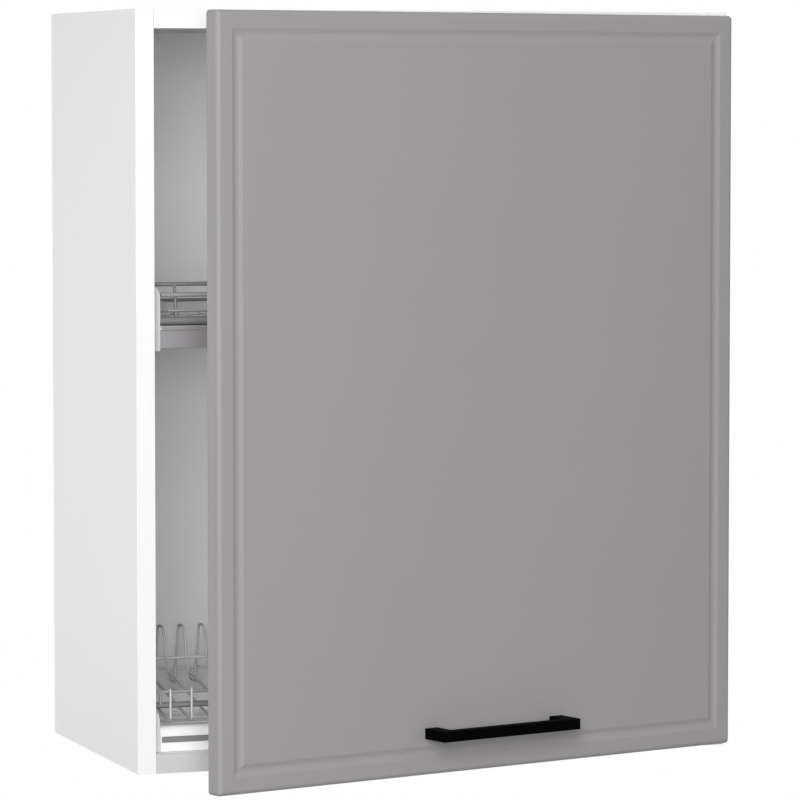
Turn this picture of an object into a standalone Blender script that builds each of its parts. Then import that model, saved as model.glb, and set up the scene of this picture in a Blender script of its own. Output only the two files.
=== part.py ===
"""Wall-hung kitchen cabinet for drying dishes: a white board carcass with one grey
milled door on two concealed hinges, a cup shelf above and a plate rack over a drip
tray below. Metres, +Z up, +Y towards the wall. The origin is the centre of the rear
face, so the cabinet hangs with Y = 0 on the wall plane."""

import math

import bmesh
import bpy
from mathutils import Vector

MM = 0.001

# Carcass
WIDTH = 600 * MM
DEPTH = 300 * MM
HEIGHT = 720 * MM
BOARD = 18 * MM
BACK_BOARD = 3 * MM
SEAT = 0.3 * MM
BOARD_EDGE = 0.4 * MM

# Door slab and its milled frame
DOOR_BOARD = 18 * MM
DOOR_BACK_GAP = 2 * MM
DOOR_SIDE_GAP = 1.5 * MM
DOOR_END_GAP = 3.5 * MM
DOOR_ROUND = 5 * MM
DOOR_CORNER = 3.5 * MM
DOOR_REAR_EASE = 0.5 * MM
GROOVE_INSET = 16.2 * MM
GROOVE_WIDTH = 12 * MM
GROOVE_WALL = 5 * MM
GROOVE_DEPTH = 1.6 * MM
DOOR_AJAR = math.radians(15.5)

# Bar handle
HANDLE_LENGTH = 159.3 * MM
HANDLE_REACH = 31.7 * MM
HANDLE_BAR = 10 * MM
HANDLE_LEG = 14 * MM
HANDLE_RISE = 39.6 * MM
HANDLE_OFFSET = 10.5 * MM
HANDLE_EASE = 0.7 * MM
SCREW_SHANK = 1.9 * MM
SCREW_BORE = 2.2 * MM
SCREW_HEAD = 4.2 * MM
SCREW_HEAD_THICK = 1.8 * MM
SCREW_BITE = 9 * MM
SCREW_TIP_ROOM = 2 * MM

# Concealed hinges: the axis they turn the door about, from the door's right end
AXIS_FROM_DOOR_END = 6.2 * MM
AXIS_FROM_FRONT = 14 * MM
HINGE_FROM_DOOR_END = 137 * MM
CUP_FROM_DOOR_END = 22.5 * MM
CUP_RADIUS = 17.3 * MM
CUP_DEPTH = 11.5 * MM
CUP_WALL = 0.9 * MM
CUP_BORE_ROOM = 0.35 * MM
FLANGE_RADIUS = 18.5 * MM
FLANGE_THICK = 1 * MM
FLANGE_WING_LENGTH = 60 * MM
FLANGE_WING_WIDTH = 15 * MM
FLANGE_WING_SETBACK = 9.5 * MM
BAND_THICK = 1.5 * MM
BAND_GAP = 1 * MM
BAND_INNER_RADIUS = 16.5 * MM
BAND_HEIGHT = 12 * MM
BAND_START = math.radians(129)
BAND_END = math.radians(174)
BAND_ROOT = math.radians(4)
OUTER_BAND_SHARE = 1 / 3
INNER_BAND_SHARE = 2 / 3
ARM_LENGTH = 64 * MM
ARM_STAND = 12.6 * MM
ARM_HEIGHT = 13 * MM
ARM_NOSE_SETBACK = 8 * MM
ARM_HEEL = 4 * MM
ARM_EDGE = 1 * MM
PLATE_THICK = 3 * MM
PLATE_SETBACK = 19 * MM
PLATE_LENGTH = 47 * MM
PLATE_HEIGHT = 16 * MM
WING_SPAN = 50 * MM
WING_WIDTH = 13 * MM
WING_SETBACK = 12 * MM

# Wall hangers in the top rear corners
HANGER_WIDTH = 20 * MM
HANGER_LENGTH = 58 * MM
HANGER_HEIGHT = 44 * MM
HANGER_DROP = 3 * MM
HANGER_EDGE = 1.5 * MM
HANGER_SLOT_DEPTH = 36 * MM
HOOK_THICK = 3 * MM
HOOK_HEIGHT = 16 * MM
HOOK_REACH = 8 * MM
HOOK_LIP = 2.5 * MM
HOOK_LIP_DROP = 9 * MM
WINDOW_SIDE_ROOM = 5 * MM
WINDOW_END_ROOM = 6 * MM

# End brackets, shelf rails and racks
BRACKET_THICK = 13.2 * MM
BRACKET_ROUND_WIDTH = 4.5 * MM
BRACKET_ROUND_DROP = 13 * MM
BRACKET_SETBACK = 27 * MM
BRACKET_REAR_ROOM = 22 * MM
RACK_ROD_SETBACK = 33 * MM
WIRE = 1.3 * MM
THIN_ROD = 1.6 * MM
THICK_ROD = 2.8 * MM
SHELF_ROD = 2 * MM
RAIL_LEVEL_SHARE = 0.55625
RAIL_HEIGHT = 21.7 * MM
RAIL_DEPTH = 15 * MM
RAIL_WALL = 3 * MM
RAIL_STEP = 3.5 * MM
RAIL_LIP = 4.5 * MM
SHELF_BRACKET_DROP = 2.3 * MM
SHELF_BRACKET_HEIGHT = 60.5 * MM
RACK_BRACKET_HEIGHT = 39 * MM
RACK_BRACKET_THICK = 7.9 * MM
RACK_BRACKET_SETBACK = 14 * MM
GRID_BAR = 3 * MM
GRID_ROD_COUNT = 5
GRID_WIRE_COUNT = 20
GRID_END_ROOM = 12 * MM
GUARD_ROD = 4 * MM
GUARD_POST = 1.45 * MM
GUARD_POST_COUNT = 10
GUARD_END_ROOM = 17.4 * MM
GUARD_LEAN = 6 * MM
UPPER_BAR = 2.2 * MM
UPPER_BAR_DROP = 9.9 * MM
UPPER_BAR_END = 3 * MM
LOWER_BAR = 1.2 * MM
LOWER_BAR_DROP = 24.8 * MM
LOWER_BAR_END = 8.7 * MM
BAR_BITE = 0.3 * MM
REAR_GUARD_BAR = 3.2 * MM
REAR_GUARD_RISE = 10.6 * MM
ROD_END_ROOM = 1.5 * MM
LIFT_END_ROOM = 0.6 * MM

# Plate dividers: one bent wire each, seen from the side
DIVIDER_COUNT = 25
FIRST_DIVIDER_ROOM = 9.1 * MM
LAST_DIVIDER_ROOM = 21.5 * MM
PLATE_RACK_REAR_ROOM = 51.7 * MM
RACK_CLEARANCE = 0.6 * MM
DIVIDER_RISE = 71 * MM
THIN_ROD_RISE = 12.7 * MM
REAR_FRAME_BEND = 4.5 * MM
BEND_STEP = math.radians(60)
DIVIDER_LENGTH_SHARE = (
    0, 0, 0.568, 0.686, 0.737, 0.743, 0.78, 0.855, 0.889, 0.908, 0.902, 0.995, 1,
)
DIVIDER_RISE_SHARE = (
    0.448, 0, 0.345, 0.377, 0.596, 0.786, 1, 0.996, 0.532, 0.399, 0.155, 0.172, 0.297,
)
DIVIDER_BENDS = (
    4.5 * MM, 9 * MM, 5 * MM, 6 * MM, 6 * MM, 6 * MM, 6 * MM, 9 * MM, 6 * MM, 3 * MM, 3 * MM,
)

# Drip tray
TRAY_HEIGHT = 24 * MM
TRAY_SETBACK = 14 * MM
TRAY_REAR_ROOM = 24 * MM
TRAY_SIDE_ROOM = 8.8 * MM
TRAY_WALL = 2 * MM
TRAY_FLOOR = 2 * MM
TRAY_FRONT_WALL = 12.4 * MM
TRAY_CHANNEL = 5.7 * MM
TRAY_CHANNEL_RISE = 8.7 * MM
TRAY_CHANNEL_DEPTH = 7 * MM
TRAY_CHANNEL_END = 1.5 * MM

OVERRUN = 5 * MM
TUBE_SIDES_RESOLUTION = 1
ARC_STEPS = 10
BORE_SIDES = 40

LEFT = -WIDTH / 2
RIGHT = WIDTH / 2
FRONT = -DEPTH
BOTTOM = -HEIGHT / 2
TOP = HEIGHT / 2
INNER_LEFT = LEFT + BOARD
INNER_RIGHT = RIGHT - BOARD
INNER_BOTTOM = BOTTOM + BOARD
INNER_TOP = TOP - BOARD
BOARDS_REAR = -BACK_BOARD - SEAT
DOOR_REAR = FRONT - DOOR_BACK_GAP
DOOR_FRONT = DOOR_REAR - DOOR_BOARD
DOOR_LEFT = LEFT + DOOR_SIDE_GAP
DOOR_RIGHT = RIGHT - DOOR_SIDE_GAP
DOOR_BOTTOM = BOTTOM + DOOR_END_GAP
DOOR_TOP = TOP - DOOR_END_GAP
AXIS = Vector((DOOR_RIGHT - AXIS_FROM_DOOR_END, FRONT - AXIS_FROM_FRONT, 0))
HANDLE_LEVEL = DOOR_BOTTOM + HANDLE_RISE
HANDLE_MIDDLE = (DOOR_LEFT + DOOR_RIGHT) / 2 + HANDLE_OFFSET
RACK_LEFT = INNER_LEFT + SEAT + BRACKET_THICK
RACK_RIGHT = INNER_RIGHT - SEAT - BRACKET_THICK
RAIL_BOTTOM = BOTTOM + HEIGHT * RAIL_LEVEL_SHARE
RAIL_TOP = RAIL_BOTTOM + RAIL_HEIGHT
RACK_SEAT = INNER_BOTTOM + SEAT + RACK_BRACKET_HEIGHT
TRAY_BOTTOM = INNER_BOTTOM + SEAT
TRAY_TOP = TRAY_BOTTOM + TRAY_HEIGHT


def clear_scene():
    """Remove every object and mesh of the startup scene."""
    for item in list(bpy.data.objects):
        bpy.data.objects.remove(item, do_unlink=True)
    for mesh in list(bpy.data.meshes):
        bpy.data.meshes.remove(mesh)


def finish(name, colour, roughness, metallic=0.0):
    """A Principled material with one colour, roughness and metallic value."""
    material = bpy.data.materials.new(name)
    material.use_nodes = True
    shader = material.node_tree.nodes["Principled BSDF"]
    shader.inputs["Base Color"].default_value = (*colour, 1)
    shader.inputs["Roughness"].default_value = roughness
    shader.inputs["Metallic"].default_value = metallic
    return material


def link(name, mesh, material):
    """Put a mesh or curve into the scene under its name with its material."""
    item = bpy.data.objects.new(name, mesh)
    if material:
        mesh.materials.append(material)
    bpy.context.scene.collection.objects.link(item)
    return item


def mesh_object(name, shape, material):
    """Turn a bmesh into a named object with its normals facing out."""
    bmesh.ops.recalc_face_normals(shape, faces=shape.faces)
    mesh = bpy.data.meshes.new(name)
    shape.to_mesh(mesh)
    shape.free()
    return link(name, mesh, material)


def ease_edges(item, width):
    """Round the sharp edges of an object by a small bevel."""
    bevel = item.modifiers.new("ease", "BEVEL")
    bevel.width = width
    bevel.segments = 1
    bevel.limit_method = "ANGLE"


def box(name, low, high, material=None, edge=0.0):
    """A box between two corners, with its own origin at its centre."""
    low = Vector(low)
    high = Vector(high)
    shape = bmesh.new()
    bmesh.ops.create_cube(shape, size=1)
    bmesh.ops.scale(shape, vec=high - low, verts=shape.verts)
    item = mesh_object(name, shape, material)
    item.location = (low + high) / 2
    if edge:
        ease_edges(item, edge)
    return item


def loft(name, loops, material=None):
    """Skin a list of loops of equal length and cap the first and the last."""
    shape = bmesh.new()
    rings = [[shape.verts.new(point) for point in loop] for loop in loops]
    count = len(rings[0])
    for ring, following in zip(rings, rings[1:]):
        for i in range(count):
            j = (i + 1) % count
            shape.faces.new((ring[i], ring[j], following[j], following[i]))
    shape.faces.new(rings[0])
    shape.faces.new(rings[-1])
    return mesh_object(name, shape, material)


def extrude(name, outline, place, low, high, material=None):
    """Extrude an outline; place(u, v, w) turns its points and the level into space."""
    return loft(name, [[place(u, v, w) for u, v in outline] for w in (low, high)], material)


def along_x(u, v, w):
    """Outline in Y and Z, extruded along X."""
    return (w, u, v)


def along_y(u, v, w):
    """Outline in X and Z, extruded along Y."""
    return (u, w, v)


def along_z(u, v, w):
    """Outline in X and Y, extruded along Z."""
    return (u, v, w)


def turned(name, profile, centre, place, sides, material=None):
    """Turn a profile of (radius, level) pairs about an axis through the centre."""
    loops = []
    for radius, level in profile:
        turns = [math.tau * i / sides for i in range(sides)]
        loops.append([
            place(centre[0] + radius * math.cos(a), centre[1] + radius * math.sin(a), level)
            for a in turns
        ])
    return loft(name, loops, material)


def combine(target, operation, others):
    """Union with, or cut by, the other objects, which stay as hidden guides."""
    for other in others:
        step = target.modifiers.new(operation.lower(), "BOOLEAN")
        step.operation = operation
        step.object = other
        other.hide_render = True
        other.display_type = "WIRE"
        other.parent = target.parent
    return target


def cell_plate(name, cuts_u, cuts_v, solid, place, low, high, material):
    """A flat plate made of the cells for which solid(i, j) holds, as one closed mesh."""
    shape = bmesh.new()
    points = {}

    def vertex(i, j, w):
        key = (i, j, w)
        if key not in points:
            points[key] = shape.verts.new(place(cuts_u[i], cuts_v[j], w))
        return points[key]

    def filled(i, j):
        inside = 0 <= i < len(cuts_u) - 1 and 0 <= j < len(cuts_v) - 1
        return inside and solid(i, j)

    for i in range(len(cuts_u) - 1):
        for j in range(len(cuts_v) - 1):
            if not solid(i, j):
                continue
            corners = ((i, j), (i + 1, j), (i + 1, j + 1), (i, j + 1))
            for w in (low, high):
                shape.faces.new([vertex(a, b, w) for a, b in corners])
            beside = ((i, j - 1), (i + 1, j), (i, j + 1), (i - 1, j))
            for side, neighbour in enumerate(beside):
                if filled(*neighbour):
                    continue
                a = corners[side]
                b = corners[(side + 1) % len(corners)]
                shape.faces.new([vertex(*a, low), vertex(*b, low), vertex(*b, high), vertex(*a, high)])
    return mesh_object(name, shape, material)


def bar_cuts(centres, width):
    """Both edges of each bar, in order."""
    return [edge for centre in centres for edge in (centre - width / 2, centre + width / 2)]


def spread(low, high, count):
    """Evenly spaced places from low to high, both included."""
    return [low + (high - low) * i / (count - 1) for i in range(count)]


def bent_path(points, radii):
    """The points of a path whose inner corners are rounded by the given radii."""
    path = [Vector(points[0])]
    for before, corner, after, radius in zip(points, points[1:], points[2:], radii):
        corner = Vector(corner)
        back = (Vector(before) - corner).normalized()
        ahead = (Vector(after) - corner).normalized()
        half = back.angle(ahead) / 2
        inset = radius / math.tan(half)
        centre = corner + (back + ahead).normalized() * radius / math.sin(half)
        first = (corner + back * inset - centre).normalized()
        last = (corner + ahead * inset - centre).normalized()
        steps = max(1, round(first.angle(last) / BEND_STEP))
        for i in range(steps + 1):
            path.append(centre + first.slerp(last, i / steps) * radius)
    path.append(Vector(points[-1]))
    return path


def tube(name, path, radius, material, closed=False):
    """A round wire along a path, as a bevelled curve with filled ends."""
    curve = bpy.data.curves.new(name, "CURVE")
    curve.dimensions = "3D"
    curve.bevel_depth = radius
    curve.bevel_resolution = TUBE_SIDES_RESOLUTION
    curve.use_fill_caps = not closed
    line = curve.splines.new("POLY")
    line.points.add(len(path) - 1)
    for point, place in zip(line.points, path):
        point.co = (*place, 1)
    line.use_cyclic_u = closed
    return link(name, curve, material)


def rod(name, low, high, y, z, radius, material=None, sides=10):
    """A straight round rod along X."""
    profile = ((radius, low), (radius, high))
    return turned(name, profile, (y, z), along_x, sides, material)


def arc(centre, radius, start, end, steps):
    """Points on an arc about a centre in a plane."""
    turns = spread(start, end, steps + 1)
    return [(centre[0] + radius * math.cos(a), centre[1] + radius * math.sin(a)) for a in turns]


def pivot(name, turn):
    """An empty on the door's axis, turned from the closed position."""
    empty = bpy.data.objects.new(name, None)
    bpy.context.scene.collection.objects.link(empty)
    empty.location = AXIS
    empty.rotation_euler.z = turn
    return empty


def hang(item, empty):
    """Parent an object made in its closed place to a pivot, keeping its origin on the axis."""
    item.parent = empty
    item.location = item.location - AXIS
    return item


def make_carcass(board, back):
    """Two sides, top and bottom between them, and the thin back behind all four."""
    box("side_panel_left", (LEFT, FRONT, BOTTOM), (INNER_LEFT, BOARDS_REAR, TOP), board, BOARD_EDGE)
    box("side_panel_right", (INNER_RIGHT, FRONT, BOTTOM), (RIGHT, BOARDS_REAR, TOP), board, BOARD_EDGE)
    low = INNER_LEFT + SEAT
    high = INNER_RIGHT - SEAT
    box("top_panel", (low, FRONT, INNER_TOP), (high, BOARDS_REAR, TOP), board, BOARD_EDGE)
    box("bottom_panel", (low, FRONT, BOTTOM), (high, BOARDS_REAR, INNER_BOTTOM), board, BOARD_EDGE)
    middle = hook_middle(1)
    window = (middle - HOOK_THICK / 2 - WINDOW_SIDE_ROOM, middle + HOOK_THICK / 2 + WINDOW_SIDE_ROOM)
    cuts_x = [LEFT, -window[1], -window[0], window[0], window[1], RIGHT]
    level = hook_level()
    cuts_z = [
        BOTTOM,
        level - HOOK_HEIGHT / 2 - HOOK_LIP_DROP - WINDOW_END_ROOM,
        level + HOOK_HEIGHT / 2 + WINDOW_END_ROOM,
        TOP,
    ]
    cell_plate("back_panel", cuts_x, cuts_z, lambda i, j: (i, j) not in ((1, 1), (3, 1)),
               along_y, -BACK_BOARD, 0, back)


def hook_middle(side):
    """X of the hanger hook on the left (-1) or right (1)."""
    return side * (INNER_RIGHT - SEAT - HANGER_WIDTH / 2)


def hook_level():
    """Z of the middle of the hanger hooks."""
    return INNER_TOP - HANGER_DROP - HANGER_HEIGHT / 2


def make_hanger(side, word, plastic, steel):
    """A housing in the top rear corner and the hook that reaches through the back."""
    middle = hook_middle(side)
    level = hook_level()
    rear = BOARDS_REAR - SEAT
    housing = box(
        f"hanger_housing_{word}",
        (middle - HANGER_WIDTH / 2, rear - HANGER_LENGTH, level - HANGER_HEIGHT / 2),
        (middle + HANGER_WIDTH / 2, rear, level + HANGER_HEIGHT / 2),
        plastic, HANGER_EDGE,
    )
    slot = box(
        f"hanger_slot_{word}",
        (middle - HOOK_THICK / 2 - SEAT, rear - HANGER_SLOT_DEPTH, level - HOOK_HEIGHT / 2 - SEAT),
        (middle + HOOK_THICK / 2 + SEAT, rear + OVERRUN, level + HOOK_HEIGHT / 2 + SEAT),
    )
    combine(housing, "DIFFERENCE", [slot])
    root = rear - HANGER_SLOT_DEPTH + SEAT
    low = level - HOOK_HEIGHT / 2
    outline = [
        (root, low),
        (HOOK_REACH - HOOK_LIP, low),
        (HOOK_REACH - HOOK_LIP, low - HOOK_LIP_DROP),
        (HOOK_REACH, low - HOOK_LIP_DROP),
        (HOOK_REACH, level + HOOK_HEIGHT / 2),
        (root, level + HOOK_HEIGHT / 2),
    ]
    extrude(f"hanger_hook_{word}", outline, along_x, middle - HOOK_THICK / 2, middle + HOOK_THICK / 2, steel)


def rounded_loop(inset, level, corner):
    """A loop of the door at one inset from its outline and one level in Y."""
    low = Vector((DOOR_LEFT + inset, DOOR_BOTTOM + inset))
    high = Vector((DOOR_RIGHT - inset, DOOR_TOP - inset))
    quarter = math.pi / 2
    centres = (
        (high.x - corner, high.y - corner),
        (low.x + corner, high.y - corner),
        (low.x + corner, low.y + corner),
        (high.x - corner, low.y + corner),
    )
    loop = []
    for i, centre in enumerate(centres):
        loop += [(x, level, z) for x, z in arc(centre, corner, i * quarter, (i + 1) * quarter, 3)]
    return loop


def make_door(lacquer, black, steel, empty):
    """The milled slab with its hinge bores, the handle and the two screws that hold it."""
    diagonal = DOOR_ROUND * (1 - math.cos(math.pi / 4))
    deep = DOOR_FRONT + GROOVE_DEPTH
    mitre = DOOR_REAR_EASE
    levels = [
        (DOOR_REAR_EASE, DOOR_REAR, DOOR_CORNER),
        (0, DOOR_REAR - DOOR_REAR_EASE, DOOR_CORNER),
        (0, DOOR_FRONT + DOOR_ROUND, DOOR_CORNER),
        (diagonal, DOOR_FRONT + diagonal, DOOR_CORNER),
        (DOOR_ROUND, DOOR_FRONT, DOOR_CORNER),
        (GROOVE_INSET, DOOR_FRONT, mitre),
        (GROOVE_INSET + GROOVE_WALL, deep, mitre),
        (GROOVE_INSET + GROOVE_WIDTH - GROOVE_WALL, deep, mitre),
        (GROOVE_INSET + GROOVE_WIDTH, DOOR_FRONT, mitre),
    ]
    door = hang(loft("door_panel", [rounded_loop(*level) for level in levels], lacquer), empty)
    cutters = []
    for level in hinge_levels():
        cup = turned(
            "cup_bore",
            ((CUP_RADIUS + CUP_BORE_ROOM, DOOR_REAR - CUP_DEPTH - CUP_BORE_ROOM),
             (CUP_RADIUS + CUP_BORE_ROOM, DOOR_REAR + OVERRUN)),
            (DOOR_RIGHT - CUP_FROM_DOOR_END, level), along_y, BORE_SIDES,
        )
        cutters.append(hang(cup, empty))
    for x in handle_legs():
        bore = turned(
            "handle_bore",
            ((SCREW_BORE, DOOR_FRONT - OVERRUN), (SCREW_BORE, DOOR_REAR + OVERRUN)),
            (x, HANDLE_LEVEL), along_y, BORE_SIDES // 2,
        )
        cutters.append(hang(bore, empty))
    combine(door, "DIFFERENCE", cutters)
    make_handle(black, empty)
    for x, word in zip(handle_legs(), ("left", "right")):
        head = DOOR_REAR + SEAT
        profile = (
            (SCREW_SHANK, DOOR_FRONT - SCREW_BITE),
            (SCREW_SHANK, head),
            (SCREW_HEAD, head),
            (SCREW_HEAD, head + SCREW_HEAD_THICK / 2),
            (SCREW_HEAD / 2, head + SCREW_HEAD_THICK),
        )
        screw = turned(f"handle_screw_{word}", profile, (x, HANDLE_LEVEL), along_y, 16, steel)
        hang(screw, empty)


def handle_legs():
    """X of the middle of each handle leg with the door closed."""
    reach = (HANDLE_LENGTH - HANDLE_LEG) / 2
    return (HANDLE_MIDDLE - reach, HANDLE_MIDDLE + reach)


def make_handle(black, empty):
    """A square bar with two straight legs, bored from behind for its screws."""
    foot = DOOR_FRONT - SEAT
    face = DOOR_FRONT - HANDLE_REACH
    left = HANDLE_MIDDLE - HANDLE_LENGTH / 2
    right = HANDLE_MIDDLE + HANDLE_LENGTH / 2
    outline = [
        (left, foot),
        (left, face),
        (right, face),
        (right, foot),
        (right - HANDLE_LEG, foot),
        (right - HANDLE_LEG, face + HANDLE_BAR),
        (left + HANDLE_LEG, face + HANDLE_BAR),
        (left + HANDLE_LEG, foot),
    ]
    low = HANDLE_LEVEL - HANDLE_BAR / 2
    handle = hang(extrude("handle", outline, along_z, low, low + HANDLE_BAR, black), empty)
    ease_edges(handle, HANDLE_EASE)
    bores = []
    for x in handle_legs():
        profile = ((SCREW_BORE, foot - SCREW_BITE - SCREW_TIP_ROOM), (SCREW_BORE, foot + OVERRUN))
        bores.append(hang(turned("leg_bore", profile, (x, HANDLE_LEVEL), along_y, 16), empty))
    combine(handle, "DIFFERENCE", bores)


def hinge_levels():
    """Z of the lower and the upper hinge."""
    return (DOOR_BOTTOM + HINGE_FROM_DOOR_END, DOOR_TOP - HINGE_FROM_DOOR_END)


def band_radius(order):
    """Inner radius of one of the nested curved bands, counted from the door's axis outwards."""
    return BAND_INNER_RADIUS + order * (BAND_THICK + BAND_GAP)


def band_outline(order, root=0.0):
    """Plan of a curved band in its closed place, lengthened by the root at its far end."""
    inner = band_radius(order)
    outer = inner + BAND_THICK
    end = BAND_END + root
    return (arc(AXIS, outer, BAND_START, end, ARC_STEPS)
            + arc(AXIS, inner, end, BAND_START, ARC_STEPS))


def make_hinge(word, level, steel, pivots):
    """Mounting plate and arm on the side panel, two curved links and the cup in the door."""
    low = level - BAND_HEIGHT / 2
    high = level + BAND_HEIGHT / 2
    make_mounting_plate(word, level, steel)
    make_arm(word, level, steel)
    for name, order, empty in (("outer_link", 2, pivots[1]), ("inner_link", 1, pivots[0])):
        hang(extrude(f"hinge_{name}_{word}", band_outline(order), along_z, low, high, steel), empty)
    make_cup(word, level, steel, pivots[2])


def make_mounting_plate(word, level, steel):
    """A cross-shaped plate on the right side panel."""
    face = INNER_RIGHT - SEAT
    y = [FRONT + PLATE_SETBACK]
    y.append(y[0] + WING_SETBACK)
    y.append(y[1] + WING_WIDTH)
    y.append(y[0] + PLATE_LENGTH)
    half = PLATE_HEIGHT / 2
    wing = WING_SPAN / 2
    outline = [
        (y[0], -half), (y[1], -half), (y[1], -wing), (y[2], -wing), (y[2], -half), (y[3], -half),
        (y[3], half), (y[2], half), (y[2], wing), (y[1], wing), (y[1], half), (y[0], half),
    ]
    raised = [(u, level + v) for u, v in outline]
    extrude(f"hinge_plate_{word}", raised, along_x, face - PLATE_THICK, face, steel)


def make_arm(word, level, steel):
    """The hinge arm: a bar on the mounting plate whose nose ends in the outermost band."""
    seat = INNER_RIGHT - SEAT - PLATE_THICK - SEAT
    far = seat - ARM_STAND
    root = band_radius(3) + BAND_THICK / 2
    nose = arc(AXIS, root, BAND_START, BAND_START + math.radians(12), 2)
    outline = [
        (seat, FRONT + ARM_LENGTH),
        (far + ARM_HEEL, FRONT + ARM_LENGTH),
        (far, FRONT + ARM_LENGTH - ARM_HEEL),
        (far, FRONT + ARM_NOSE_SETBACK),
        *reversed(nose),
        (seat, FRONT + ARM_NOSE_SETBACK + ARM_HEEL),
    ]
    half = ARM_HEIGHT / 2
    arm = extrude(f"hinge_arm_{word}", outline, along_z, level - half, level + half, steel)
    band = extrude("arm_band", band_outline(3), along_z, level - BAND_HEIGHT / 2, level + BAND_HEIGHT / 2)
    combine(arm, "UNION", [band])


def make_cup(word, level, steel, empty):
    """The pressed cup with its flange, and the innermost band that leaves its floor."""
    middle = (DOOR_RIGHT - CUP_FROM_DOOR_END, level)
    floor = DOOR_REAR - CUP_DEPTH
    rim = DOOR_REAR + SEAT
    top = rim + FLANGE_THICK
    inner = CUP_RADIUS - CUP_WALL
    profile = (
        (CUP_RADIUS, floor), (CUP_RADIUS, rim), (FLANGE_RADIUS, rim), (FLANGE_RADIUS, top),
        (inner, top), (inner, floor + CUP_WALL),
    )
    cup = hang(turned(f"hinge_cup_{word}", profile, middle, along_y, BORE_SIDES, steel), empty)
    edge = middle[0] - FLANGE_WING_SETBACK - FLANGE_WING_WIDTH / 2
    wing = box(
        "cup_wing",
        (edge, rim, level - FLANGE_WING_LENGTH / 2),
        (edge + FLANGE_WING_WIDTH, top, level + FLANGE_WING_LENGTH / 2),
    )
    opening = ((inner, rim - OVERRUN), (inner, top + OVERRUN))
    mouth = turned("cup_mouth", opening, middle, along_y, BORE_SIDES)
    hang(wing, empty)
    combine(wing, "DIFFERENCE", [hang(mouth, empty)])
    band = extrude("cup_band", band_outline(0, BAND_ROOT), along_z,
                   level - BAND_HEIGHT / 2, level + BAND_HEIGHT / 2)
    combine(cup, "UNION", [wing, hang(band, empty)])


def make_bracket(name, side, low, size, plastic):
    """A moulded end bracket on a side panel, with its upper inner edge rounded steeply."""
    height, thick, setback = size
    wall = INNER_RIGHT - SEAT
    inner = wall - thick
    top = low + height
    squeeze = BRACKET_ROUND_WIDTH / BRACKET_ROUND_DROP
    quarter = [
        (inner + BRACKET_ROUND_WIDTH + u * squeeze, top - BRACKET_ROUND_DROP + v)
        for u, v in arc((0, 0), BRACKET_ROUND_DROP, math.pi, math.pi / 2, 5)
    ]
    outline = [(side * x, z) for x, z in [(wall, low), (inner, low), *quarter, (wall, top)]]
    extrude(name, outline, along_y, FRONT + setback, BOARDS_REAR - BRACKET_REAR_ROOM, plastic)


def make_rail(name, face, towards_wall, aluminium):
    """A shelf rail: a channel between the brackets with a lip along its top."""
    sign = 1 if towards_wall else -1
    step = RAIL_STEP
    points = [
        (0, RAIL_HEIGHT), (0, RAIL_HEIGHT - RAIL_LIP), (step, RAIL_HEIGHT - RAIL_LIP), (step, 0),
        (RAIL_DEPTH, 0), (RAIL_DEPTH, RAIL_WALL), (step + RAIL_WALL, RAIL_WALL),
        (step + RAIL_WALL, RAIL_HEIGHT - RAIL_WALL), (RAIL_DEPTH, RAIL_HEIGHT - RAIL_WALL),
        (RAIL_DEPTH, RAIL_HEIGHT),
    ]
    outline = [(face + sign * u, RAIL_BOTTOM + v) for u, v in points]
    extrude(name, outline, along_x, RACK_LEFT + SEAT, RACK_RIGHT - SEAT, aluminium)


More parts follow.
